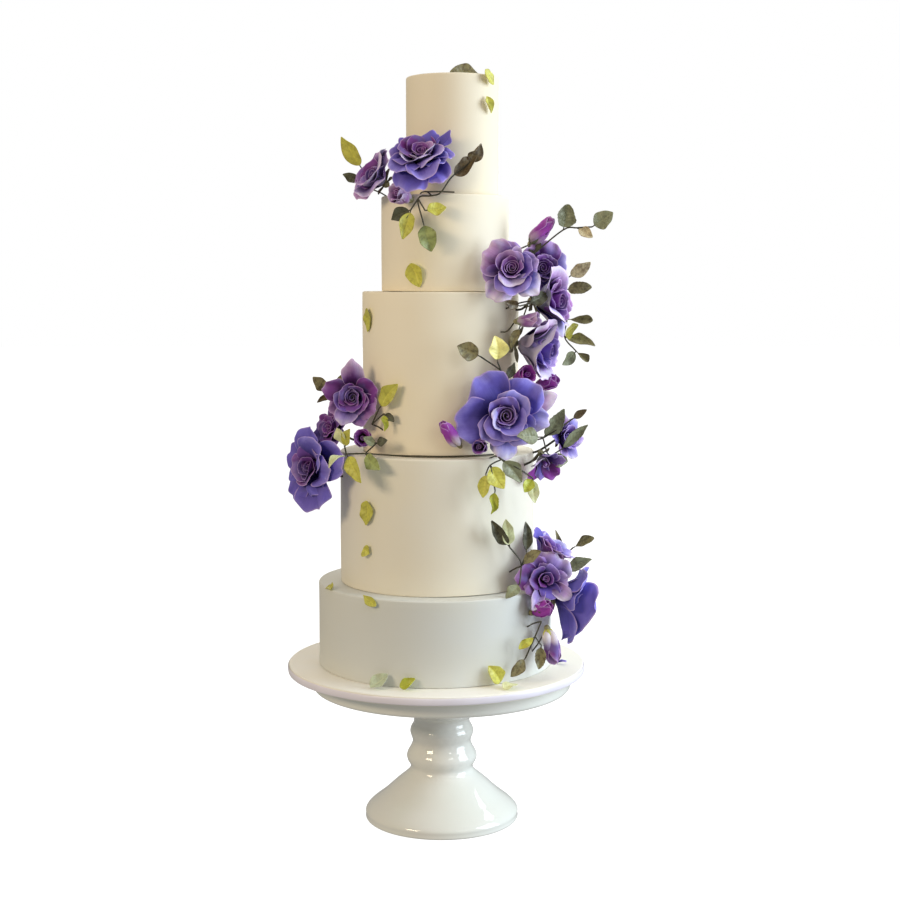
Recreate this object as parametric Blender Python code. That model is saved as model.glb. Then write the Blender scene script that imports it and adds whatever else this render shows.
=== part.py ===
"""A five-tier wedding cake on its board and pedestal stand, dressed with sugar roses and leaves.

Lengths are metres, +Z is up and -Y is the front. The origin is the centre of the stand's foot.
Every rose, bud, sprig of leaves and loose leaf is a closed solid of its own.
"""

import math

import bmesh
import bpy
from mathutils import Vector

MM = 0.001
CLEAR = 0.3 * MM  # between two pieces that touch
MERGE = 0.00001
ROUND_STEPS = 30  # sides of a tier, the board and its ribbon

# Pedestal stand
STAND_STEPS = 24
STAND_HEIGHT = 165 * MM
FOOT_RADIUS = 84 * MM
FOOT_RIM = 4 * MM
PLATE_RADIUS = 141 * MM
PLATE_RIM = 12 * MM
PLATE_EDGE = 3 * MM
STEM_WAIST = 29 * MM
# one entry for each ring bead of the stem: height of its middle, radius, half its height
STEM_BEADS = ((69 * MM, 37.5 * MM, 9 * MM), (95 * MM, 34.5 * MM, 9 * MM))
FLARE_TOP = 56 * MM
FLARE_SWEEP = 1.45  # how strongly the foot's flare curves in
FLARE_ROWS = (0.14, 0.34, 0.56, 0.78, 1.0)
# shallow bowl under the plate, from the stem out: radius and height
BOWL = ((41 * MM, 116 * MM), (87.5 * MM, 141 * MM), (136 * MM, 151 * MM))

# Cake board and its ribbon
BOARD_RADIUS = 161.2 * MM
BOARD_THICKNESS = 10 * MM
BOARD_SHIFT = -6 * MM
RIBBON_THICKNESS = 0.6 * MM

# Cake tiers, from the board up: radius, height, and how far each was set off centre along X
TIER_SIZES = (
    (126.5 * MM, 90 * MM, -7 * MM),
    (104.5 * MM, 142 * MM, -5 * MM),
    (83.5 * MM, 170 * MM, -1 * MM),
    (68 * MM, 100 * MM, 4 * MM),
    (49 * MM, 124 * MM, 11.5 * MM),
)
ICING_EDGE = 3 * MM  # radius of a tier's soft top edge

# Roses and buds
ROSE_PETALS = 5
WIRE_RADIUS = 1.3 * MM
BRANCH_RADIUS = 0.9 * MM  # where a leaf starts inside another leaf's wire
WIRE_SIDES = 4
# each ring of a rose, from the calyx forward: share of the radius out and forward,
# depth of the petals' lobes, and turn in petals
ROSE_RINGS = (
    (0.12, -0.50, 0.00, 0.0),
    (0.45, -0.38, 0.04, 0.0),
    (0.88, -0.10, 0.10, 0.0),
    (1.00, 0.12, 0.13, 0.0),
    (0.72, 0.10, 0.05, 0.5),
    (0.62, 0.42, 0.10, 0.5),
    (0.30, 0.38, 0.06, 0.0),
)
ROSE_HEART = 0.52
BUD_RINGS = (
    (0.30, -1.25, 0.00, 0.0),
    (0.80, -0.95, 0.05, 0.0),
    (1.00, -0.20, 0.08, 0.0),
    (0.84, 0.70, 0.10, 0.5),
    (0.40, 1.15, 0.10, 0.5),
)
BUD_HEART = 1.10
STEM_ROOT = 8  # mm below a tier's top edge, the highest that a stem is set in

# name, tier, (azimuth, out, up) of its middle, (azimuth, elevation) that it faces, radius, sides
ROSES = (
    ("rose_top_front", 5, (-24, 19, 31), (-12, 35), 31, 15),
    ("rose_top_side", 5, (-75, 35, 19), (-95, 20), 23, 10),
    ("rose_high_front", 4, (47, 31, 20), (-5, 10), 29, 15),
    ("rose_high_back", 4, (84, 47, 30), (50, 25), 20, 10),
    ("rose_high_side", 3, (78, 46, 161), (80, -5), 20, 10),
    ("rose_high_low", 3, (64, 32, 115), (40, -20), 27, 10),
    ("rose_mid_main", 3, (36, 24, 45), (5, 3), 33, 15),
    ("flower_mid_side", 3, (83, 45, 12), (70, 10), 16, 10),
    ("flower_mid_low", 2, (62, 19, 126), (50, -50), 18, 10),
    ("rose_left_upper", 3, (-60, 21, 61), (-8, 3), 25, 15),
    ("rose_left_back", 3, (-79, 36, 23), (-70, 25), 17, 10),
    ("rose_left_lower", 2, (-76, 29, 123), (-78, 5), 29, 15),
    ("rose_low_back", 2, (67, 22, 47), (30, 35), 20, 10),
    ("rose_low_front", 2, (55, 31, 14), (22, 15), 22, 10),
    ("rose_low_side", 1, (71, 32, 72), (95, -10), 31, 15),
)
BUDS = (
    ("bud_top", 4, (-33, 13, 97), (-35, 10), 8, 6),
    ("bud_high", 4, (72, 42, 62), (25, 60), 7, 6),
    ("bud_high_inner", 3, (49, 36, 141), (70, 5), 7, 6),
    ("bud_mid_upper", 3, (53, 26, 86), (20, 15), 9, 6),
    ("bud_mid_side", 3, (66, 38, 75), (70, 25), 8, 6),
    ("bud_mid_front", 3, (6, 14, 27), (-60, 50), 8, 6),
    ("bud_mid_small", 3, (24, 18, 13), (-10, 0), 7, 6),
    ("bud_low_round", 1, (50, 17, 74), (-30, -15), 7, 6),
    ("bud_low_hanging", 1, (54, 24, 34), (60, -75), 9, 6),
    ("bud_left_small", 3, (-51, 20, 19), (0, 5), 8, 6),
)

LEAF_THICKNESS = 1.0 * MM
LEAF_TILT = 15  # elevation in degrees that a sprig's leaves face
LEAF_FOLD = 0.3  # how far the edges stand up, as a share of the leaf's width
# rows of a leaf from its heel: share of its length and of its width
LEAF_ROWS = ((0.30, 0.46), (0.70, 0.40))
LEAF_GREEN = {
    "lime": (0.42, 0.45, 0.08),
    "bright": (0.36, 0.46, 0.05),
    "yellow": (0.66, 0.60, 0.15),
    "pale": (0.62, 0.64, 0.36),
    "green": (0.14, 0.22, 0.09),
    "sage": (0.22, 0.26, 0.16),
    "olive": (0.16, 0.15, 0.07),
    "tan": (0.36, 0.30, 0.16),
    "brown": (0.12, 0.09, 0.05),
    "dark": (0.05, 0.06, 0.04),
}
# Each sprig: its tier, its wires as (azimuth, out, up) points, and its leaves, each with its
# shade, the wire and the point on it that it grows from, its tip, its width and the azimuth
# that its face looks to
SPRIGS = {
    "sprig_top_left": (
        4,
        (((-102, 10, 108), (-96, 15, 122), (-94, 21, 130)), ((-102, 10, 108), (-92, 23, 116))),
        (
            ("lime", (0, 2), (-89, 42, 163), 17, -20),
            ("dark", (1, 1), (-91, 41, 124), 12, -10),
        ),
    ),
    "sprig_top_front": (
        4,
        (
            ((-9, 17, 97), (2, 11, 108), (9, 9, 126)),
            ((-9, 17, 97), (-18, 20, 94), (-15, 17, 70)),
            ((-18, 20, 94), (-13, 21, 82)),
            ((-18, 20, 94), (-22, 24, 83)),
        ),
        (
            ("brown", (0, 2), (25, 12, 132), 15, 10),
            ("brown", (0, 2), (22, 13, 148), 12, 40),
            ("green", (1, 2), (-10, 13, 41), 18, -15),
            ("lime", (2, 1), (1, 14, 86), 14, 5),
            ("dark", (3, 1), (-33, 32, 73), 13, -40),
            ("lime", (3, 1), (-25, 33, 53), 15, -20),
        ),
    ),
    "sprig_high_right": (
        4,
        (((65, 32, 38), (71, 62, 64), (72, 76, 66), (74, 91, 67)),),
        (
            ("sage", (0, 1), (70, 68, 90), 19, 0),
            ("tan", (0, 2), (73, 92, 56), 11, 20),
            ("sage", (0, 3), (75, 112, 82), 18, -10),
        ),
    ),
    "sprig_high_side": (
        3,
        (((93, 54, 185), (94, 51, 172), (94, 53, 140), (92, 50, 121), (89, 62, 106)),),
        (
            ("tan", (0, 0), (91, 77, 201), 13, 0),
            ("olive", (0, 1), (91, 79, 174), 13, 0),
            ("olive", (0, 2), (90, 80, 139), 9, 10),
            ("bright", (0, 3), (80, 60, 137), 10, 30),
            ("olive", (0, 3), (86, 82, 112), 12, 0),
            ("olive", (0, 4), (86, 75, 95), 8, 0),
            ("sage", (0, 4), (84, 48, 92), 12, 20),
        ),
    ),
    "sprig_high_low": (
        3,
        (((57, 30, 161), (50, 27, 159), (39, 24, 156)), ((50, 27, 159), (49, 25, 134))),
        (
            ("dark", (0, 0), (62, 43, 169), 11, 10),
            ("brown", (0, 2), (32, 15, 162), 9, 0),
            ("olive", (1, 1), (41, 27, 112), 8, -20),
        ),
    ),
    "sprig_mid_left": (
        3,
        (((39, 23, 80), (35, 25, 90), (23, 21, 105)), ((35, 25, 90), (32, 27, 99))),
        (
            ("olive", (0, 2), (10, 18, 116), 17, -10),
            ("yellow", (1, 1), (30, 27, 126), 19, 0),
            ("dark", (0, 0), (43, 29, 98), 9, 20),
        ),
    ),
    "sprig_mid_right": (
        3,
        (
            ((61, 39, 18), (64, 55, 29), (67, 66, 38)),
            ((61, 39, 18), (64, 43, 0), (68, 53, 5)),
            ((61, 39, 18), (53, 50, 21), (46, 59, 23)),
        ),
        (
            ("sage", (0, 0), (64, 60, 49), 16, 0),
            ("brown", (0, 2), (69, 80, 48), 7, 0),
            ("sage", (1, 1), (71, 58, -8), 15, 10),
            ("sage", (1, 2), (74, 78, 31), 11, 15),
            ("sage", (2, 2), (34, 54, 25), 16, 15),
        ),
    ),
    "sprig_mid_hanging": (
        2,
        (
            ((32, 21, 143), (26, 21, 138), (24, 20, 130)),
            ((32, 21, 143), (39, 27, 134), (47, 31, 122)),
            ((26, 21, 138), (28, 23, 112)),
        ),
        (
            ("sage", (1, 0), (40, 31, 119), 16, 10),
            ("lime", (0, 1), (30, 33, 115), 18, 5),
            ("lime", (0, 2), (22, 22, 105), 12, -20),
            ("bright", (2, 1), (26, 23, 88), 11, -10),
            ("bright", (1, 2), (43, 28, 108), 11, 10),
            ("pale", (1, 2), (48, 32, 96), 11, 20),
        ),
    ),
    "sprig_left_upper": (
        3,
        (((-48, 12, 33), (-42, 11, 50)), ((-48, 12, 33), (-38, 11, 45))),
        (
            ("lime", (0, 1), (-28, 9, 76), 16, -20),
            ("bright", (1, 1), (-36, 14, 27), 8, 0),
            ("dark", (1, 1), (-31, 9, 37), 7, 10),
        ),
    ),
    "sprig_left_back": (
        3,
        (((-82, 25, 54), (-82, 32, 60), (-82, 40, 63)),),
        (
            ("olive", (0, 2), (-81, 54, 80), 12, -15),
            ("brown", (0, 1), (-81, 50, 52), 6, -10),
            ("olive", (0, 1), (-82, 23, 82), 9, -10),
        ),
    ),
    "sprig_left_lower": (
        3,
        (
            ((-46, 50, 5), (-41, 34, 5), (-33, 7, 1.8), (-18, 3, 1.8), (2, 3, 1.8), (22, 3, 1.8)),
            ((-46, 50, 5), (-46, 52, 12)),
            ((-41, 34, 5), (-37, 26, 15)),
        ),
        (
            ("pale", (1, 1), (-48, 58, 32), 11, -20),
            ("lime", (1, 1), (-42, 53, 32), 11, 0),
            ("yellow", (0, 0), (-33, 58, -24), 17, -15),
            ("pale", (0, 0), (-45, 72, -12), 11, -30),
            ("sage", (2, 1), (-40, 38, 22), 9, -20),
            ("dark", (2, 1), (-31, 21, 19), 9, -10),
            ("green", (0, 1), (-29, 43, -9), 13, -15),
        ),
    ),
    "sprig_low_upper": (
        2,
        (
            ((45, 20, 30), (43, 21, 38), (38, 18, 51)),
            ((45, 20, 30), (47, 23, 43)),
            ((45, 20, 30), (42, 24, 13)),
        ),
        (
            ("dark", (0, 2), (29, 12, 80), 13, -10),
            ("pale", (0, 2), (34, 24, 81), 13, 20),
            ("dark", (1, 1), (47, 21, 76), 10, 10),
            ("olive", (0, 0), (44, 50, 50), 11, 10),
            ("sage", (2, 1), (34, 23, -1), 12, -10),
        ),
    ),
    "sprig_low_side": (
        2,
        (((86, 34, 10), (86, 33, 25), (86, 43, 36)),),
        (
            ("olive", (0, 2), (86, 66, 47), 10, 0),
            ("sage", (0, 0), (85, 64, 24), 13, 0),
            ("olive", (0, 1), (77, 26, 58), 5, 10),
        ),
    ),
    "sprig_low_hanging": (
        1,
        (((48, 22, 64), (45, 20, 49), (42, 14, 27)), ((45, 20, 49), (48, 22, 39))),
        (
            ("lime", (0, 1), (38, 15, 38), 9, 0),
            ("olive", (0, 2), (36, 7, 8), 11, 0),
            ("olive", (1, 1), (47, 21, 14), 12, 10),
        ),
    ),
}
# Loose leaves: name, shade, tier, (azimuth, out, up) of base and tip, width, and (azimuth,
# elevation) of the side that its face looks to
LOOSE_LEAVES = (
    ("leaf_on_top", "dark", 5, (-28, -20, 127), (10, -8, 130), 16, (0, 50)),
    ("leaf_top_rim", "yellow", 5, (40, 3, 128), (52, 4, 113), 12, (45, 20)),
    ("leaf_tier_5", "lime", 5, (43, 2, 101), (50, 2, 84), 9, (46, 0)),
    ("leaf_tier_4", "lime", 4, (-30, 2.5, 29), (-22, 2.5, 5), 17, (-27, 0)),
    ("leaf_tier_3", "lime", 3, (-62, 2.5, 153), (-63, 2.5, 128), 15, (-62, 0)),
    ("leaf_tier_2_upper", "lime", 2, (-42, 2.5, 97), (-43, 2.5, 71), 15, (-42, 0)),
    ("leaf_tier_2_lower", "lime", 2, (-45, 2.5, 46), (-40, 2.5, 42), 12, (-42, 0)),
    ("leaf_ledge_edge", "lime", 1, (-64, -6, 92), (-56, 3, 92), 9, (-60, 80)),
    ("leaf_ledge_front", "lime", 1, (-28, 3, 92), (-24, 3, 84), 8, (-26, 20)),
    ("leaf_board_left", "sage", 1, (-33, 6, 2.5), (-28, 4, 14), 14, (-25, 30)),
    ("leaf_board_front", "bright", 1, (-18, 7, 3), (-12, 5, 12), 13, (-10, 35)),
    ("leaf_board_right", "lime", 1, (31, 4, 3), (25, 3, 22), 16, (28, 5)),
    ("leaf_board_flat", "lime", 1, (28, 22, 2), (35, 21, 2), 10, (30, 85)),
)

WHITE_GLAZE = ((0.86, 0.87, 0.83), 0.12)
BOARD_ICING = ((0.86, 0.84, 0.78), 0.6)
RIBBON_SATIN = ((0.72, 0.66, 0.74), 0.35)
CREAM_ICING = ((0.86, 0.81, 0.68), 0.6)
GREY_ICING = ((0.72, 0.74, 0.73), 0.6)
PETAL_ROUGHNESS = 0.55
PETAL_BLUE = (0.10, 0.07, 0.38)
PETAL_PURPLE = (0.20, 0.08, 0.36)
LEAF_ROUGHNESS = 0.5


def material(name, color, roughness):
    made = bpy.data.materials.new(name)
    made.use_nodes = True
    shader = made.node_tree.nodes["Principled BSDF"]
    shader.inputs["Base Color"].default_value = (*color, 1)
    shader.inputs["Roughness"].default_value = roughness
    shader.inputs["Metallic"].default_value = 0
    return made


def piece(name, bm, finish):
    """One object of a finished bmesh, with a material of its own."""
    bmesh.ops.recalc_face_normals(bm, faces=bm.faces)
    mesh = bpy.data.meshes.new(name)
    bm.to_mesh(mesh)
    bm.free()
    mesh.shade_smooth()
    mesh.set_sharp_from_angle(angle=math.radians(40))
    made = bpy.data.objects.new(name, mesh)
    bpy.context.scene.collection.objects.link(made)
    mesh.materials.append(material(name, *finish))
    return made


def turned(name, outline, steps, finish, shift=0.0):
    """A turned solid: an outline of (radius, height) points spun about Z."""
    bm = bmesh.new()
    points = [bm.verts.new((r, 0, z)) for r, z in outline]
    edges = [bm.edges.new(pair) for pair in zip(points, points[1:])]
    bmesh.ops.spin(
        bm,
        geom=points + edges,
        cent=(0, 0, 0),
        axis=(0, 0, 1),
        angle=math.tau,
        steps=steps,
        use_duplicate=False,
    )
    bmesh.ops.remove_doubles(bm, verts=bm.verts, dist=MERGE)
    made = piece(name, bm, finish)
    made.location.x = shift
    return made


def arc(middle_r, middle_z, radius_r, radius_z, start, end, steps):
    """Points of an elliptic arc in an outline, from one angle to the other in degrees."""
    angles = [math.radians(start + (end - start) * i / steps) for i in range(steps + 1)]
    return [(middle_r + radius_r * math.cos(a), middle_z + radius_z * math.sin(a)) for a in angles]


def stand():
    """The pedestal: a flared foot, a stem with two ring beads, and a plate on a shallow bowl."""
    outline = [(0, 0), (FOOT_RADIUS - MM, 0), (FOOT_RADIUS, MM), (FOOT_RADIUS, FOOT_RIM)]
    flare_height = FLARE_TOP - FOOT_RIM
    flare_width = FOOT_RADIUS - STEM_WAIST
    for share in FLARE_ROWS:
        sweep = (1 - share) ** FLARE_SWEEP
        outline.append((STEM_WAIST + flare_width * sweep, FOOT_RIM + flare_height * share))
    for middle, radius, half in STEM_BEADS:
        outline += arc(STEM_WAIST, middle, radius - STEM_WAIST, half, -55, 55, 3)
        outline.append((STEM_WAIST, middle + half + 3 * MM))
    outline += [
        *BOWL,
        (PLATE_RADIUS, STAND_HEIGHT - PLATE_RIM + PLATE_EDGE),
        (PLATE_RADIUS, STAND_HEIGHT - PLATE_EDGE),
        (PLATE_RADIUS - PLATE_EDGE, STAND_HEIGHT),
        (0, STAND_HEIGHT),
    ]
    turned("stand", outline, STAND_STEPS, WHITE_GLAZE)


def board():
    """The cake board, and the ribbon round its edge."""
    low = STAND_HEIGHT + CLEAR
    high = STAND_HEIGHT + BOARD_THICKNESS
    outline = [(0, low), (BOARD_RADIUS, low), (BOARD_RADIUS, high), (0, high)]
    turned("board", outline, ROUND_STEPS, BOARD_ICING, BOARD_SHIFT)
    inner = BOARD_RADIUS + CLEAR
    outer = inner + RIBBON_THICKNESS
    band = [(inner, low), (outer, low), (outer, high), (inner, high), (inner, low)]
    turned("board_ribbon", band, ROUND_STEPS, RIBBON_SATIN, BOARD_SHIFT)


def tier_base(number):
    """Height of the surface that a tier stands on."""
    below = sum(height for _, height, _ in TIER_SIZES[: number - 1])
    return STAND_HEIGHT + BOARD_THICKNESS + below


def tier(number):
    radius, height, shift = TIER_SIZES[number - 1]
    low = tier_base(number) + CLEAR
    high = tier_base(number) + height
    edge = arc(radius - ICING_EDGE, high - ICING_EDGE, ICING_EDGE, ICING_EDGE, 0, 90, 2)
    outline = [(0, low), (radius, low), *edge, (0, high)]
    finish = GREY_ICING if number == 1 else CREAM_ICING
    turned(f"tier_{number}", outline, ROUND_STEPS, finish, shift)


def aim(azimuth, elevation):
    """Unit vector. Azimuth 0 looks to the front, -Y, and 90 to +X."""
    a = math.radians(azimuth)
    e = math.radians(elevation)
    return Vector((math.sin(a) * math.cos(e), -math.cos(a) * math.cos(e), math.sin(e)))


def spot(number, place):
    """The point at an azimuth, so many mm out from a tier's wall and up from its base."""
    azimuth, out, up = place
    radius, _, shift = TIER_SIZES[number - 1]
    return Vector((shift, 0, tier_base(number) + up * MM)) + aim(azimuth, 0) * (radius + out * MM)


def ring(middle, direction, radius, sides, across):
    """A round ring of points square to a direction, its first point towards across."""
    first = (across - direction * across.dot(direction)).normalized()
    second = direction.cross(first)
    angles = [math.tau * i / sides for i in range(sides)]
    return [middle + radius * (first * math.cos(a) + second * math.sin(a)) for a in angles]


def skin(bm, rings, start, end):
    """Closes a row of equal rings into one body that ends in two single points."""
    loops = [[bm.verts.new(p) for p in points] for points in rings]
    sides = len(loops[0])
    for low, high in zip(loops, loops[1:]):
        for i in range(sides):
            j = (i + 1) % sides
            bm.faces.new((low[i], low[j], high[j], high[i]))
    for loop, point in ((loops[0], start), (loops[-1], end)):
        pole = bm.verts.new(point)
        for i in range(sides):
            bm.faces.new((pole, loop[i], loop[(i + 1) % sides]))


def bloom(spec, profile, heart, color):
    """A rose or a bud: rings of lobed petals on a stem that reaches to its tier's wall."""
    name, number, place, facing, radius_mm, sides = spec
    radius = radius_mm * MM
    middle = spot(number, place)
    turn = aim(*facing).to_track_quat("Z", "Y")
    highest = TIER_SIZES[number - 1][1] / MM - STEM_ROOT
    wall = spot(number, (place[0], 1, min(place[2], highest)))
    root = turn.inverted() @ (wall - middle)
    calyx = Vector((0, 0, radius * profile[0][1]))
    along = (calyx - root).normalized()
    across = Vector((1, 0, 0))
    rings = [ring(root, along, WIRE_RADIUS, sides, across)]
    for out, forward, lobe, petals in profile:
        loop = []
        for i in range(sides):
            angle = math.tau * i / sides
            wave = lobe * math.cos(ROSE_PETALS * angle - petals * math.tau)
            reach = radius * out * (1 + wave)
            height = radius * (forward + wave / 2)
            loop.append(Vector((reach * math.cos(angle), reach * math.sin(angle), height)))
        rings.append(loop)
    bm = bmesh.new()
    skin(bm, rings, root, Vector((0, 0, radius * heart)))
    made = piece(name, bm, (color, PETAL_ROUGHNESS))
    made.location = middle
    made.rotation_mode = "QUATERNION"
    made.rotation_quaternion = turn


def leaf_rings(base, tip, width, face):
    """The rings of a leaf: each has its right edge, its upper face, its left edge and its back."""
    along = (tip - base).normalized()
    normal = (face - along * face.dot(along)).normalized()
    side = normal.cross(along)
    rings = []
    for share, spread in LEAF_ROWS:
        middle = base.lerp(tip, share)
        edge = side * width * spread
        lift = normal * width * spread * LEAF_FOLD
        thick = normal * LEAF_THICKNESS / 2
        rings.append([middle + edge + lift, middle + thick, middle - edge + lift, middle - thick])
    return rings, side


def leaf_mesh(base, tip, width, face):
    """A thin closed blade from base to tip, folded up a little along its midrib."""
    bm = bmesh.new()
    rings, _ = leaf_rings(base, tip, width, face)
    skin(bm, rings, base, tip)
    return bm


def stalk_mesh(points, leaf):
    """A thin wire along a row of points, which opens into a leaf at its end if it has one."""
    tip, width, face = leaf or (points[-1], WIRE_RADIUS, aim(0, 0))
    blade, side = leaf_rings(points[-1], tip, width, face) if leaf else ([], face)
    rings = []
    for i, point in enumerate(points):
        before = points[max(i - 1, 0)]
        after = points[i + 1] if i + 1 < len(points) else tip
        radius = WIRE_RADIUS if len(points) > 1 else BRANCH_RADIUS
        rings.append(ring(point, (after - before).normalized(), radius, WIRE_SIDES, side))
    bm = bmesh.new()
    skin(bm, rings + blade, points[0], tip)
    bmesh.ops.triangulate(bm, faces=bm.faces)
    return bm


def sprig(name):
    """Wires that end in leaves, and leaves that branch off them, joined into one body."""
    number, wires, leaves = SPRIGS[name]
    wires = [[spot(number, place) for place in wire] for wire in wires]
    ends = {}
    branches = []
    for _, (wire, point), tip, width, face in leaves:
        leaf = (spot(number, tip), width * MM, aim(face, LEAF_TILT))
        if point == len(wires[wire]) - 1 and wire not in ends:
            ends[wire] = leaf
        else:
            branches.append(([wires[wire][point]], leaf))
    stalks = [(points, ends.get(i)) for i, points in enumerate(wires)]
    bodies = [stalk_mesh(points, leaf) for points, leaf in stalks + branches]
    finish = (LEAF_GREEN[leaves[0][0]], LEAF_ROUGHNESS)
    made = piece(name, bodies[0], finish)
    for i, body in enumerate(bodies[1:], 1):
        part = piece(f"{name}_part_{i}", body, finish)
        part.hide_render = True
        part.display_type = "WIRE"
        join = made.modifiers.new(f"join_{i}", "BOOLEAN")
        join.operation = "UNION"
        join.solver = "EXACT"
        join.object = part


def main():
    for old in list(bpy.data.objects):
        bpy.data.objects.remove(old)
    stand()
    board()
    for number in range(1, len(TIER_SIZES) + 1):
        tier(number)
    for i, spec in enumerate(ROSES):
        bloom(spec, ROSE_RINGS, ROSE_HEART, PETAL_PURPLE if i % 2 else PETAL_BLUE)
    for spec in BUDS:
        bloom(spec, BUD_RINGS, BUD_HEART, PETAL_PURPLE)
    for name in SPRIGS:
        sprig(name)
    for name, shade, number, base, tip, width, face in LOOSE_LEAVES:
        blade = leaf_mesh(spot(number, base), spot(number, tip), width * MM, aim(*face))
        piece(name, blade, (LEAF_GREEN[shade], LEAF_ROUGHNESS))


main()
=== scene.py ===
"""Looks of a five-tier wedding cake on its board and stand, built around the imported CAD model.

Lengths are metres, +Z is up and -Y is the front. Every piece has its place in its mesh.
"""

import math
import random

import bpy
from mathutils import Matrix, Vector, noise


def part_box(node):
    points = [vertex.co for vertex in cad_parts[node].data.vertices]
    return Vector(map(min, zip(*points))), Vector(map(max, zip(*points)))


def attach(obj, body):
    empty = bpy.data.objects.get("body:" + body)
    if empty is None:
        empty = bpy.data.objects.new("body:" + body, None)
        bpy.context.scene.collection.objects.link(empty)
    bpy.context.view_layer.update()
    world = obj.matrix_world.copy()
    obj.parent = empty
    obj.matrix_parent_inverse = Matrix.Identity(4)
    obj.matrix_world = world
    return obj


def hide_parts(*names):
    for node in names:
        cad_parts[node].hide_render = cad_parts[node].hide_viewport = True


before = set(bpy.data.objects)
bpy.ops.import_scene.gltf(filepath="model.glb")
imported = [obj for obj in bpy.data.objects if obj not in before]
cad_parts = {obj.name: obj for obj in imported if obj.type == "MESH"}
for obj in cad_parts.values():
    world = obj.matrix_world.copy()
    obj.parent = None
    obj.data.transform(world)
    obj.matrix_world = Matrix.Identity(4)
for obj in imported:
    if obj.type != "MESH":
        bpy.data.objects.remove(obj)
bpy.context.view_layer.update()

bl_info = {
    "name": "Tiered Wedding Cake",
    "version": (1, 0, 0),
    "blender": (4, 5, 0),
    "location": "View3D > Sidebar > Cake",
    "description": "Builds a tiered wedding cake with sugar roses on its stand",
    "category": "Add Mesh",
}

MM = 0.001
TIERS = 5
# Painted light: the icing colour is changed by tier for how light falls on it, tier 2 cooler and greyer
# and tier 5 darker.
TIER_PAINTED_LIGHT = {2: (0.92, 0.96, 1.04), 5: (0.93, 0.92, 0.915)}
NOISE_SEED = 1  # noise_vector differs from run to run without one
BOARD_WHITE = (0.90, 0.905, 0.885)  # what the board's icing is paled with
FOOT_RADIUS = 84  # of the stand, in mm
TIER_SINK = 0.3 * MM  # a tier's CAD solid starts so far above the one that it stands on
OVERLAP = 0.24  # how far a rose's own petals overlap, for one that stands upright
SEPALS = 5
CALYX = -0.36  # where a rose's sepals start behind it, in its radii
PETAL_GRID = (14, 12)  # cells across and along a petal
LEAF_GRID = (12, 22)  # cells across and along a leaf
ROSE_STEM = 1.5  # a rose's stem against a sprig's wire
LEAF_TILT = 15  # elevation in degrees that a sprig's leaves face
LEAF_STRAY = 22  # how far in degrees a sprig's leaf may turn from where it faces
LEAF_WIDTH = 1.12  # a leaf's widest part against its CAD solid's
LEAF_PROUD = 1.2  # how many mm a loose leaf stands off the icing
STALK = 0.1  # share of a leaf that is its stalk


# ---------------------------------------------------------------- shader maths


class Socket:
    """A node's output that shader maths can be written with."""

    def __init__(self, nodes, socket):
        self.nodes = nodes
        self.socket = socket

    def maths(self, operation, first, second):
        return self.nodes.add("Math", {"operation": operation}, {0: first, 1: second})

    def __add__(self, other):
        return self.maths("ADD", self, other)

    __radd__ = __add__

    def __mul__(self, other):
        return self.maths("MULTIPLY", self, other)

    __rmul__ = __mul__

    def __sub__(self, other):
        return self.maths("SUBTRACT", self, other)

    def __rsub__(self, other):
        return self.maths("SUBTRACT", other, self)


class Nodes:
    """The nodes of one material, and its Principled shader."""

    def __init__(self, name):
        self.material = bpy.data.materials.new(name)
        self.material.use_nodes = True
        self.tree = self.material.node_tree
        self.shader = self.tree.nodes["Principled BSDF"]

    def put(self, target, value):
        if isinstance(value, Socket):
            self.tree.links.new(value.socket, target)
        else:
            target.default_value = value

    def add(self, kind, settings=None, inputs=None, output=0):
        """Adds a node of a kind, with its settings set first, and gives one of its outputs."""
        node = self.tree.nodes.new("ShaderNode" + kind)
        for key, value in (settings or {}).items():
            setattr(node, key, value)
        for key, value in (inputs or {}).items():
            self.put(node.inputs[key], value)
        return Socket(self, node.outputs[output])

    def mix(self, factor, first, second):
        """A colour between two, by a factor from 0 to 1."""
        colors = [(*c, 1) if isinstance(c, tuple) and len(c) == 3 else c for c in (first, second)]
        settings = {"data_type": "RGBA", "clamp_factor": True}
        return self.add("Mix", settings, {0: factor, 6: colors[0], 7: colors[1]}, 2)

    def between(self, value, low, high):
        """0 below low, 1 above high, and smooth in between."""
        inputs = {"Value": value, "From Min": low, "From Max": high}
        return self.add("MapRange", {"interpolation_type": "SMOOTHSTEP"}, inputs)

    def noise(self, vector, scale, detail=3.0, roughness=0.5):
        inputs = {"Vector": vector, "Scale": scale, "Detail": detail, "Roughness": roughness}
        return self.add("TexNoise", None, inputs)

    def place(self):
        return self.add("TexCoord", None, None, "Object")

    def magnitude(self, value):
        return self.add("Math", {"operation": "ABSOLUTE"}, {0: value})

    def tone(self, color, gain):
        """A colour times a gain in red, green and blue."""
        return self.add("VectorMath", {"operation": "MULTIPLY"}, {0: color, 1: gain})

    def split(self, vector):
        node = self.add("SeparateXYZ", None, {0: vector})
        return [Socket(self, out) for out in node.socket.node.outputs]

    def bump(self, height, strength, distance):
        inputs = {"Strength": strength, "Distance": distance, "Height": height}
        self.put(self.shader.inputs["Normal"], self.add("Bump", None, inputs))

    def finish(self, color, roughness, uniform=None):
        """Links the colour and roughness, and sets what is the same all over on the shader."""
        self.put(self.shader.inputs["Base Color"], color)
        self.put(self.shader.inputs["Roughness"], roughness)
        for key, value in (uniform or {}).items():
            self.shader.inputs[key].default_value = value
        return self.material


# ---------------------------------------------------------------- making pieces


def deselect():
    bpy.ops.object.select_all(action="DESELECT")


def select(*objects):
    deselect()
    for obj in objects:
        obj.select_set(True)
    bpy.context.view_layer.objects.active = objects[0]


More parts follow.
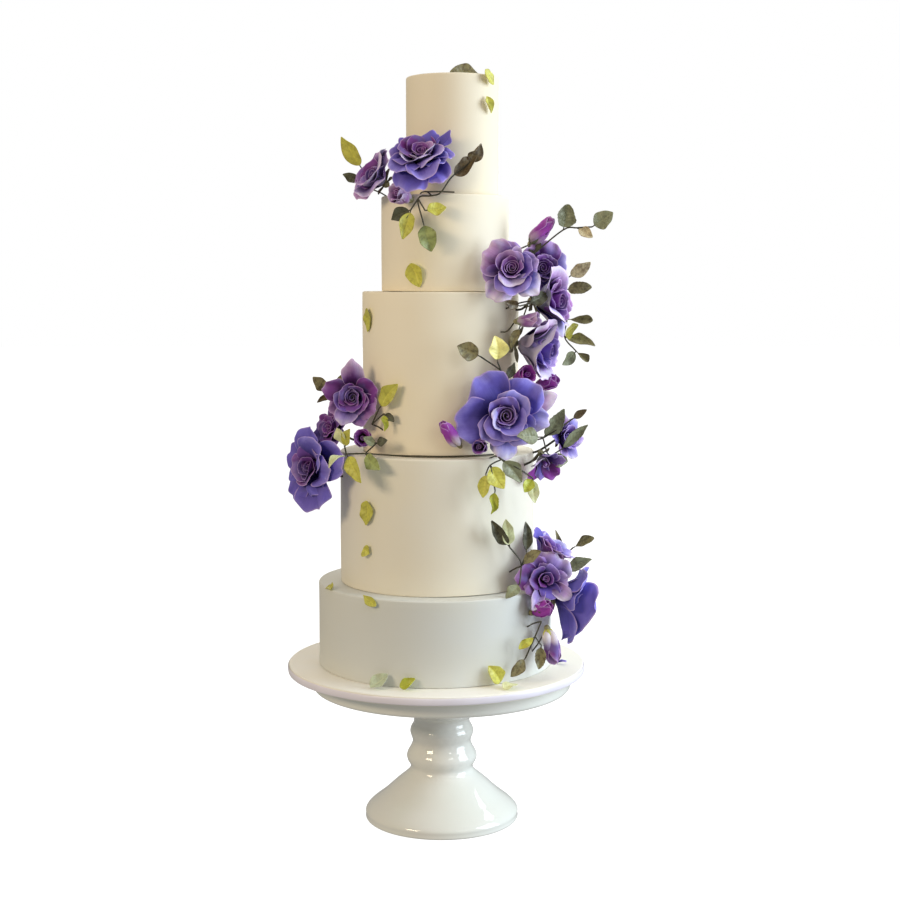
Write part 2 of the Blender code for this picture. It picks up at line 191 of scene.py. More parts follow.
def modify(obj, kind, **settings):
    """Adds a modifier and applies it."""
    select(obj)
    modifier = obj.modifiers.new(kind, kind)
    for key, value in settings.items():
        setattr(modifier, key, value)
    bpy.ops.object.modifier_apply(modifier=modifier.name)


def joined(name, objects):
    """Several objects made one."""
    select(*objects)
    if len(objects) > 1:
        bpy.ops.object.join()
    made = bpy.context.view_layer.objects.active
    made.name = name
    made.data.name = name
    return made


def stand_for(obj, slot, *nodes):
    """Hangs a piece under the root and hides the CAD nodes that it stands for. The slot is not used."""
    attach(obj, "root")
    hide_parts(*nodes)


def dress(obj, material, slot, *nodes):
    """Gives a piece its one material, and hides the CAD nodes that it stands for."""
    obj.data.materials.clear()
    obj.data.materials.append(material)
    stand_for(obj, slot, *nodes)


def smooth(obj, degrees=60):
    select(obj)
    bpy.ops.object.shade_smooth_by_angle(angle=math.radians(degrees))


def turned(name, outline, steps, shift=0.0):
    """A body spun about Z from an outline of (radius, height) points."""
    deselect()
    bpy.ops.mesh.primitive_circle_add(vertices=3, radius=MM)
    made = bpy.context.active_object
    made.name = name
    bpy.ops.object.mode_set(mode="EDIT")
    bpy.ops.mesh.select_all(action="SELECT")
    bpy.ops.mesh.merge(type="CENTER")
    before = Vector((0, 0, 0))
    for i, (radius, height) in enumerate(outline):
        point = Vector((radius, 0, height))
        step = {"value": point - before}
        if i:
            bpy.ops.mesh.extrude_region_move(TRANSFORM_OT_translate=step)
        else:
            bpy.ops.transform.translate(**step)
        before = point
    bpy.ops.mesh.select_all(action="SELECT")
    bpy.ops.mesh.spin(steps=steps, angle=math.tau, center=(0, 0, 0), axis=(0, 0, 1))
    bpy.ops.mesh.select_all(action="SELECT")
    bpy.ops.mesh.remove_doubles(threshold=0.00001)
    bpy.ops.mesh.normals_make_consistent(inside=False)
    bpy.ops.transform.translate(value=(shift, 0, 0))
    bpy.ops.object.mode_set(mode="OBJECT")
    return made


def arc(center, radii, start, end, steps):
    """Points of an elliptic arc in an outline, from one angle to the other in degrees."""
    points = []
    for i in range(steps + 1):
        a = math.radians(start + (end - start) * i / steps)
        points.append((center[0] + radii[0] * math.cos(a), center[1] + radii[1] * math.sin(a)))
    return points


def flowing(points, steps):
    """A smooth row of points through the given ones."""
    points = [Vector(p) for p in points]
    ends = [2 * points[0] - points[1], *points, 2 * points[-1] - points[-2]]
    made = []
    for a, b, c, d in zip(ends, ends[1:], ends[2:], ends[3:]):
        for i in range(steps):
            t = i / steps
            cubic = 2 * b + (c - a) * t + (2 * a - 5 * b + 4 * c - d) * t**2
            made.append((cubic + (3 * b - a - 3 * c + d) * t**3) / 2)
    return [*made, points[-1]]


def wavy(obj, depth, wavelength, seed):
    """Moves a surface in and out a little, as hand-smoothed icing is."""
    mesh = obj.data
    normals = [v.normal.copy() for v in mesh.vertices]
    offset = Vector((seed, seed * 0.7, 0))
    for vertex, normal in zip(mesh.vertices, normals):
        vertex.co += normal * depth * noise.noise(vertex.co / wavelength + offset)


# ---------------------------------------------------------------- where things are


def aim(azimuth, elevation):
    """Unit vector. Azimuth 0 looks to the front, -Y, and 90 to +X."""
    a = math.radians(azimuth)
    e = math.radians(elevation)
    return Vector((math.sin(a) * math.cos(e), -math.cos(a) * math.cos(e), math.sin(e)))


def disc(node):
    """A round CAD node's radius, the X of its middle, and its lowest and highest Z."""
    low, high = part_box(node)
    return (high[0] - low[0]) / 2, (high[0] + low[0]) / 2, low[2], high[2]


def spot(number, place):
    """The point at an azimuth, so many mm out from a tier's wall and up from its base."""
    radius, middle, low, _ = disc(f"tier_{number}")
    azimuth, out, up = place
    return Vector((middle, 0, low - TIER_SINK + up * MM)) + aim(azimuth, 0) * (radius + out * MM)


def facing_frame(place, facing):
    """Turns a flower's own axes: X to its right, Y up it and Z the way it faces."""
    forward = aim(*facing)
    right = aim(facing[0] + 90, 0)
    axes = Matrix((right, forward.cross(right), forward)).transposed()
    return Matrix.Translation(place) @ axes.to_4x4()


def ease(value):
    """0 to 1, smoothly."""
    value = min(max(value, 0.0), 1.0)
    return value * value * (3 - 2 * value)


# ---------------------------------------------------------------- the stand, the flowers and leaves

# The stand's outline from its foot up to under its plate, as (radius, height) in mm.
STAND_PROFILE = (
    (83.7, 4.5), (83.6, 8.6), (79.6, 13.6), (72.6, 19.4), (66, 24.6), (60, 30), (52.6, 37),
    (46.4, 42.4), (40.6, 47.2), (36.4, 51.4), (34.3, 55.4), (34.6, 58.8), (37.2, 63.4), (38.4, 68.2),
    (37.2, 73), (34.2, 78.4), (32.2, 83.4), (32.1, 87), (33.6, 91.4), (34.7, 96), (33.7, 100.6),
    (31.2, 105), (30.6, 109), (33, 113.5), (50, 121.5), (84, 133.5), (114, 142),
)

# A row of petals: how many, then length, width, lean, curl of the lip, cup, tip and overlap.
ROWS = {
    "tight": (3, 0.66, 0.9, 20, 22, 88, 0.0, 0.26),
    "inner": (4, 0.9, 1.05, 32, 32, 64, 0.0, 0.2),
    "middle": (5, 1.12, 1.15, 50, 30, 46, 0.0, 0.12),
    "outer": (5, 1.32, 1.25, 70, 18, 32, 0.05, 0.05),
}

# Each rose: tier, place as (azimuth, mm out, mm up), facing, radius in mm, heart as (spin, turns,
# width, height, tint, pale), rows as (row, first turn, tint, pale), and its own petals as (turn,
# length, width, lean, curl, cup, tip, tint, pale). Tint runs from vivid blue, under 0, by blue, 0,
# and plum, 1, to magenta, 2.
ROSES = {
    "rose_top_front": (
        5, (-26, 20, 37), (-12, 44), 27, (-1, 2.4, 0.26, 0.42, 0.95, 0.2),
        (("tight", 30, 0.9, 0.3),),
        (
            (8, 0.88, 0.8, 24, 35, 62, 0.35, 0.85, 0.7), (98, 0.95, 1.3, 34, 34, 60, 0, 1, 0.2),
            (292, 0.95, 1.3, 30, 24, 72, 0, 0.6, 1), (172, 1.14, 1.45, 42, 26, 52, 0, 1.1, 0.15),
            (246, 1.16, 1.45, 44, 22, 60, 0, 0.5, 0.85), (318, 1.16, 1.35, 48, 34, 50, 0, 0.35, 0.75),
            (58, 1.2, 0.9, 44, 38, 40, 0.15, 0.05, 0.1), (140, 1.25, 1, 58, 30, 34, 0.1, 0.1, 0.1),
            (196, 1.35, 1.35, 64, 30, 40, 0, 0.2, 0.3), (232, 1.55, 1.45, 70, 26, 48, 0, 0.2, 0.45),
            (286, 1.6, 1.5, 72, 26, 46, 0, 0.15, 0.5), (328, 1.35, 1.1, 64, 36, 38, 0.1, 0.05, 0.4),
            (258, 1.9, 1.6, 90, 20, 40, 0, 0.1, 0.3), (306, 1.7, 1.2, 88, 24, 34, 0, 0.05, 0.3),
            (20, 1.75, 0.62, 60, -55, 60, 0, 0, 0.3), (346, 1.5, 0.6, 64, 70, 50, 0, 0.05, 0.35),
        ),
    ),
    "rose_top_side": (
        5, (-70, 32, 17), (-50, 30), 25.5, (1, 2.2, 0.26, 0.5, 1, 0),
        (("tight", 0, 1, 0.1),),
        (
            (30, 0.98, 1.2, 30, 32, 60, 0, 0.9, 0.2), (150, 0.95, 1.2, 34, 32, 60, 0, 1, 0.1),
            (265, 0.95, 1.2, 34, 30, 60, 0, 0.8, 0.4), (80, 1.1, 1.2, 44, 34, 46, 0, 0.9, 0.2),
            (200, 1.12, 1.3, 50, 30, 46, 0, 0.7, 0.4), (322, 1.25, 1.6, 36, 44, 56, 0, 0.8, 0.7),
            (14, 1.42, 2.1, 34, 44, 60, 0, 0.6, 0.9), (62, 1.35, 1.4, 54, 30, 40, 0, 0.8, 0.7),
            (125, 1.25, 1.2, 64, 30, 30, 0, 0.9, 0.3), (190, 1.25, 1.2, 66, 30, 30, 0, 0.8, 0.3),
            (250, 1.4, 1.3, 60, 40, 34, 0.05, 0.9, 0.7), (300, 1.5, 1.6, 56, 44, 44, 0, 0.5, 0.85),
        ),
    ),
    "rose_high_front": (
        4, (44.5, 31, 22), (-6, 18), 28, (1, 3, 0.27, 0.42, 0.85, 0.3),
        (),
        (
            (20, 0.7, 0.95, 24, 20, 84, 0, 0.75, 0.4), (140, 0.7, 0.95, 24, 22, 84, 0, 0.8, 0.3),
            (260, 0.72, 1, 24, 24, 84, 0, 0.7, 0.6), (112, 0.9, 1.3, 36, 34, 66, 0, 0.7, 0.6),
            (8, 0.96, 1.2, 46, 26, 60, 0, 0.25, 0.35), (280, 0.94, 1.3, 42, 40, 60, 0, 0.6, 0.9),
            (74, 1.06, 0.6, 46, 44, 50, 0.3, 0.6, 0.75), (276, 1.3, 1.55, 56, 40, 46, 0.1, 0.25, 0.5),
            (148, 1.36, 1.6, 68, 46, 34, 0, 0.85, 0.8), (190, 1.15, 1, 74, 40, 28, 0, 0.7, 0.5),
            (240, 1.56, 1.1, 70, 44, -20, 0, 0.75, 1), (316, 1.5, 1.1, 70, 40, 36, 0.3, 0.15, 1),
            (18, 1.08, 1, 66, 34, 30, 0.1, 0.6, 0.6), (98, 1.15, 0.8, 66, 40, 36, 0.1, 0.6, 0.5),
        ),
    ),
    "rose_high_back": (
        4, (74.5, 36, 24), (18, 6), 25, (1, 2.4, 0.28, 0.38, 0.8, 0.3),
        (("tight", 0, 0.8, 0.4), ("inner", 50, 0.75, 0.4)),
        (
            (200, 1.1, 0.9, 46, 20, 30, 0.9, 0.9, 0.85), (80, 1.3, 1.5, 56, 30, 44, 0, 0.85, 0.55),
            (20, 1.25, 1.2, 64, 20, 30, 0, 0.2, 0.7), (140, 1.25, 1.2, 62, 25, 34, 0, 0.8, 0.5),
            (260, 1.2, 1.2, 66, 20, 30, 0.1, 0.5, 0.5), (320, 1.2, 1.2, 66, 20, 30, 0, 0.3, 0.5),
        ),
    ),
    "rose_high_side": (
        3, (72, 27, 160), (54, 0), 29, (-1, 2.6, 0.28, 1, 0.85, 0.2),
        (),
        (
            (40, 1.15, 1, 16, 28, 84, 0, 0.9, 0.3), (160, 1.12, 1, 16, 32, 84, 0, 0.9, 0.4),
            (280, 1.15, 1, 18, 30, 84, 0, 0.8, 0.4), (98, 1.3, 1.2, 30, 36, 66, 0, 0.9, 0.6),
            (330, 1.25, 1.2, 30, 40, 60, 0, 1, 0.4), (88, 1.62, 1.9, 48, 56, 44, 0, 0.85, 0.95),
            (206, 1.45, 2.1, 24, 34, 64, 0.1, 0.45, 1), (272, 1.7, 0.95, 48, 40, 40, 0.2, 0.15, 0.9),
            (316, 1.3, 1.1, 44, 34, 40, 0, 1.2, 0.4), (0, 1.45, 0.9, 50, 44, 40, 0, 1.4, 0.5),
            (50, 1.3, 1.1, 48, 34, 40, 0, 0.8, 0.5),
        ),
    ),
    "rose_high_low": (
        3, (61, 15, 115), (57, -10), 31, (1, 2.6, 0.28, 1.25, 0.45, 0.1),
        (),
        (
            (30, 1.34, 1, 12, 30, 84, 0, 0.4, 0.4), (150, 1.3, 1, 12, 34, 84, 0, 0.3, 0.5),
            (270, 1.36, 1.1, 14, 36, 84, 0, 0.3, 0.5), (90, 1.4, 1.2, 22, 40, 66, 0, 0.5, 0.6),
            (330, 1.42, 1.2, 24, 40, 66, 0, 0.6, 0.5), (226, 1.36, 1.1, 26, 44, 64, 0, 0.2, 0.8),
            (112, 1.62, 1.6, 34, 50, 54, 0, 0.95, 0.95), (180, 1.52, 2.3, 18, 46, 72, 0.1, 0.4, 1),
            (282, 1.72, 1.6, 34, 26, 50, 0.1, 0.6, 1), (350, 1.45, 1.3, 38, 30, 44, 0, 0.4, 0.8),
            (45, 1.45, 1.3, 38, 30, 44, 0, 0.6, 0.6),
        ),
    ),
    "rose_mid_main": (
        3, (38, 25, 44), (5, 3), 33, (1, 3, 0.29, 0.44, 0.75, 0.2),
        (("tight", 70, 0.5, 0.3),),
        (
            (214, 0.86, 1, 27, 22, 70, 0.1, 0.1, 0.89), (112, 0.88, 1.2, 32, 62, 74, 0, 0.2, 0.39),
            (328, 0.9, 1.25, 37, 34, 60, 0, 0.1, 0.54), (60, 1.05, 1.25, 44, 42, 50, 0, 0, 0.59),
            (238, 1.05, 1.1, 47, 34, 50, 0, 0.2, 0.44), (296, 1.02, 1, 50, 30, 40, 0, 0.2, 0.54),
            (125, 1.6, 1.5, 76, 26, 22, 0.1, 0, 0.39), (48, 1.46, 1.35, 76, 26, 22, 0, 0, 0.39),
            (188, 1.7, 1.5, 78, 24, 26, 0.12, 0, 0.39), (266, 1.52, 0.9, 68, 42, -24, 0, 0.05, 0.99),
            (352, 1.45, 0.9, 70, 36, -15, 0, 0, 0.74), (228, 1.2, 1.15, 62, 24, 35, 0, 0.15, 0.54),
            (316, 1.2, 1.15, 62, 30, 35, 0, 0.1, 0.64), (20, 1.78, 0.8, 84, 10, -15, 0.3, 0.95, 1),
        ),
    ),
    "flower_mid_side": (
        3, (78, 50, 15), (45, 10), 21, (1, 2, 0.25, 0.4, 0.4, 0.4),
        (("inner", 10, 0.5, 0.5),),
        (
            (110, 1.5, 0.9, 64, 24, 24, 0.2, 1, 0.95), (170, 1.35, 0.9, 66, 20, 24, 0.2, 0.1, 0.6),
            (235, 1.4, 0.9, 66, 20, 24, 0.2, 0.8, 0.7), (295, 1.3, 0.9, 68, 20, 24, 0.2, 0.3, 0.9),
            (355, 1.3, 0.9, 66, 20, 24, 0.2, 0.6, 0.8), (50, 1.35, 0.9, 66, 20, 24, 0.2, 0.1, 0.8),
        ),
    ),
    "flower_mid_low": (
        2, (62, 22, 138), (30, -50), 21, (1, 1.6, 0.2, 0.4, 0.8, 0.4),
        (),
        (
            (228, 1.6, 1.05, 52, 34, 40, 0.15, 1.6, 0.2), (318, 1.6, 1, 56, 34, 36, 0.15, 1.5, 0.3),
            (275, 1.3, 0.9, 50, 20, 40, 0.2, 0.3, 0.6), (165, 1.15, 0.9, 52, 24, 36, 0.2, 1, 0.95),
            (90, 1.1, 0.9, 60, 20, 30, 0.2, 0.3, 0.6), (25, 1.2, 0.9, 58, 20, 30, 0.2, 0.6, 0.6),
        ),
    ),
    "rose_left_upper": (
        3, (-60, 21, 60), (-8, 3), 25, (-1, 2.8, 0.29, 0.38, 1, 0),
        (("tight", 100, 1, 0.2),),
        (
            (140, 0.84, 1.2, 32, 34, 66, 0, 0.9, 0.1), (20, 0.86, 1.2, 34, 36, 64, 0, 0.95, 0.1),
            (260, 0.88, 1.25, 34, 34, 64, 0, 0.7, 0.15), (325, 1, 1.1, 44, 32, 50, 0, 0.9, 0.3),
            (205, 1, 1, 44, 28, 46, 0, 0.4, 0.2), (88, 1.82, 1.1, 72, 10, 22, 0.75, 0.85, 0.75),
            (158, 1.42, 1.05, 74, 14, 24, 0.1, 0.9, 0.3), (26, 1.24, 1.25, 62, 36, 40, 0, 1, 0.15),
            (326, 1.28, 1.2, 64, 34, 34, 0, 0.95, 0.5), (250, 1.4, 1, 64, 26, 34, 0.1, 0.45, 0.8),
            (292, 1.32, 0.9, 74, 14, 24, 0.1, 0.8, 0.55), (214, 1.25, 0.9, 76, 12, 22, 0.1, 0.8, 0.55),
        ),
    ),
    "rose_left_back": (
        3, (-76, 33, 24), (-50, 20), 21, (1, 2.4, 0.28, 0.4, 1, 0),
        (
            ("tight", 0, 1, 0.1), ("inner", 40, 1, 0.15), ("middle", 10, 0.95, 0.15),
            ("outer", 40, 0.85, 0.2),
        ),
        (),
    ),
    "rose_left_lower": (
        2, (-74, 31, 127), (-42, 8), 31, (-1, 2.4, 0.26, 0.34, 1, 0),
        (("tight", 60, 0.95, 0.1),),
        (
            (190, 0.85, 1.2, 34, 34, 62, 0, 0.9, 0.3), (290, 0.88, 1.25, 36, 34, 62, 0, 0.9, 0.3),
            (80, 0.95, 1.2, 40, 34, 56, 0, 0.6, 0.2), (44, 1.5, 1.6, 46, 66, 58, 0.2, 0.1, 0.35),
            (352, 1.55, 1.3, 56, 66, 56, 0, 0.15, 0.35), (16, 1.75, 1.5, 78, 36, 34, 0, 0.1, 0.3),
            (290, 1.7, 1.75, 74, 30, 36, 0, 0.1, 0.25), (100, 1.5, 1.2, 70, 30, 34, 0.1, 0, 0.12),
            (150, 1.3, 1.2, 70, 30, 28, 0, 0.2, 0), (196, 1.25, 0.9, 76, 30, 24, 0.2, 0.1, 0),
            (236, 1.4, 1.1, 72, 30, 28, 0, 0.1, 0.05), (320, 1.35, 1.3, 60, 36, 44, 0, 0.1, 0.2),
        ),
    ),
    "rose_low_back": (
        2, (64, 22, 36), (76, 52), 26, (1, 2.4, 0.26, 0.4, 0.7, 0.2),
        (("tight", 0, 0.7, 0.3), ("inner", 60, 0.5, 0.3)),
        (
            (200, 1.2, 1.3, 40, 22, 50, 0.1, 1.2, 0.5), (165, 1.3, 1.2, 46, 26, 44, 0.1, 0.9, 0.3),
            (250, 1.25, 1.3, 44, 28, 46, 0, 0.6, 0.7), (95, 1.25, 1.2, 48, 36, 44, 0, 0.1, 0.2),
            (302, 1.3, 1.3, 48, 30, 44, 0, 0.3, 0.8), (0, 1.35, 1.3, 52, 26, 38, 0, 0.05, 0.9),
            (50, 1.25, 1.1, 52, 30, 36, 0, 0.1, 0.6),
        ),
    ),
    "rose_low_front": (
        2, (56, 31, 14), (14, 10), 22, (1, 2.2, 0.17, 0.4, 0.95, 0),
        (),
        (
            (30, 0.6, 0.8, 26, 24, 80, 0, 0.8, 0.1), (210, 0.62, 0.85, 30, 26, 76, 0, 0.9, 0.1),
            (60, 0.9, 1.3, 46, 26, 50, 0, 0.6, 0.5), (170, 1, 1.3, 50, 30, 50, 0, 0.9, 0.3),
            (285, 1.15, 1.1, 58, 20, 46, 0, 0.35, 0.1), (56, 1.44, 2, 70, 34, 28, 0, 0.5, 0.85),
            (118, 1.3, 1.4, 70, 34, 26, 0, 0.6, 0.55), (172, 1.6, 1.4, 72, 34, 28, 0.1, 0.9, 0.35),
            (350, 1.25, 1.2, 66, 34, 28, 0, 0.7, 0.7), (212, 1.35, 1, 66, 30, 40, 0, 0.8, 0.5),
            (240, 1.85, 0.8, 66, 26, 60, 0.2, 0.5, 1), (318, 1.74, 0.85, 66, 60, 36, 0.05, 0.8, 1),
        ),
    ),
    "rose_low_side": (
        1, (65, 20, 85), (95, -25), 32.5, (1, 2.4, 0.26, 0.4, 0.2, 0.3),
        (("tight", 0, 0.2, 0.3),),
        (
            (30, 0.9, 1.2, 34, 32, 60, 0, -0.45, 0.3), (150, 0.9, 1.2, 36, 32, 60, 0, -0.45, 0.5),
            (270, 0.9, 1.2, 36, 30, 60, 0, -0.45, 0.3), (214, 1.5, 2.7, 40, 24, 66, 0, -0.45, 0.3),
            (264, 1.78, 1.35, 50, 16, 44, 0.3, -0.45, 0.5), (312, 1.55, 1.5, 42, 20, 50, 0, -0.45, 0.2),
            (152, 1.1, 1.25, 50, 70, 50, 0, -0.45, 0.55),
            (108, 1.36, 1.3, 62, 44, 40, 0.1, -0.45, 0.58), (60, 1.35, 1.2, 58, 36, 36, 0, -0.45, 0.5),
            (5, 1.2, 1.2, 54, 30, 36, 0, -0.45, 0.3),
        ),
    ),
}

# Each bud: tier, place, facing, radius in mm, length in radii, petals, how far they open, tint and
# pale, how white its foot is, calyx colour and the calyx's length in radii.
BUDS = {
    "bud_top": (4, (-33, 13, 98), (-42, 14), 11.5, 2.1, 5, 20, 1.5, 0.75, 0.3, "olive", 1.0),
    "bud_high": (4, (70, 40, 64), (78, 48), 9, 4.0, 4, 2, 1.7, 0.25, 0.3, "dark", 2.0),
    "bud_high_inner": (3, (49, 36, 141), (70, 5), 9, 2.6, 4, 16, 1.4, 0.7, 0.4, "sage", 1.2),
    "bud_mid_upper": (3, (51, 26, 83), (35, 20), 10, 2.4, 5, 22, 1.9, 0.1, 0.0, "brown", 1.8),
    "bud_mid_side": (3, (66, 38, 75), (70, 25), 11, 2.3, 4, 6, 1.8, 0.2, 0.1, "olive", 1.0),
    "bud_mid_front": (3, (6, 14, 27), (-60, 50), 8, 4.3, 4, 0, 1.8, 0.2, 0.7, "olive", 1.2),
    "bud_mid_small": (3, (24, 18, 13), (-10, 0), 9.5, 2.2, 5, 16, 1.2, 0.2, 0.0, "dark", 1.0),
    "bud_low_round": (1, (51, 17, 75), (50, 22), 10.5, 2.4, 4, 0, 1.9, 0.15, 0.0, "brown", 1.3),
    "bud_low_hanging": (1, (54, 24, 34), (60, -75), 10, 3.9, 4, 0, 1.2, 0.4, 1.0, "lime", 1.6),
    "bud_left_small": (3, (-51, 20, 19), (0, 5), 9, 1.9, 5, 34, 1.4, 0.15, 0.0, "dark", 1.0),
}

# A leaf's colour, and how strongly it is mottled.
LEAF_DYES = {
    "lime": ((0.56, 0.54, 0.085), 0.35),
    "bright": ((0.47, 0.50, 0.05), 0.3),
    "yellow": ((0.90, 0.82, 0.28), 0.3),
    "pale": ((0.74, 0.76, 0.42), 0.15),
    "green": ((0.31, 0.36, 0.13), 0.5),
    "sage": ((0.27, 0.29, 0.17), 0.5),
    "mint": ((0.50, 0.56, 0.38), 0.3),
    "olive": ((0.25, 0.225, 0.11), 0.75),
    "tan": ((0.60, 0.51, 0.31), 0.7),
    "brown": ((0.125, 0.09, 0.04), 0.9),
    "dark": ((0.09, 0.09, 0.05), 0.8),
    "wire": ((0.045, 0.04, 0.02), 0.6),
}

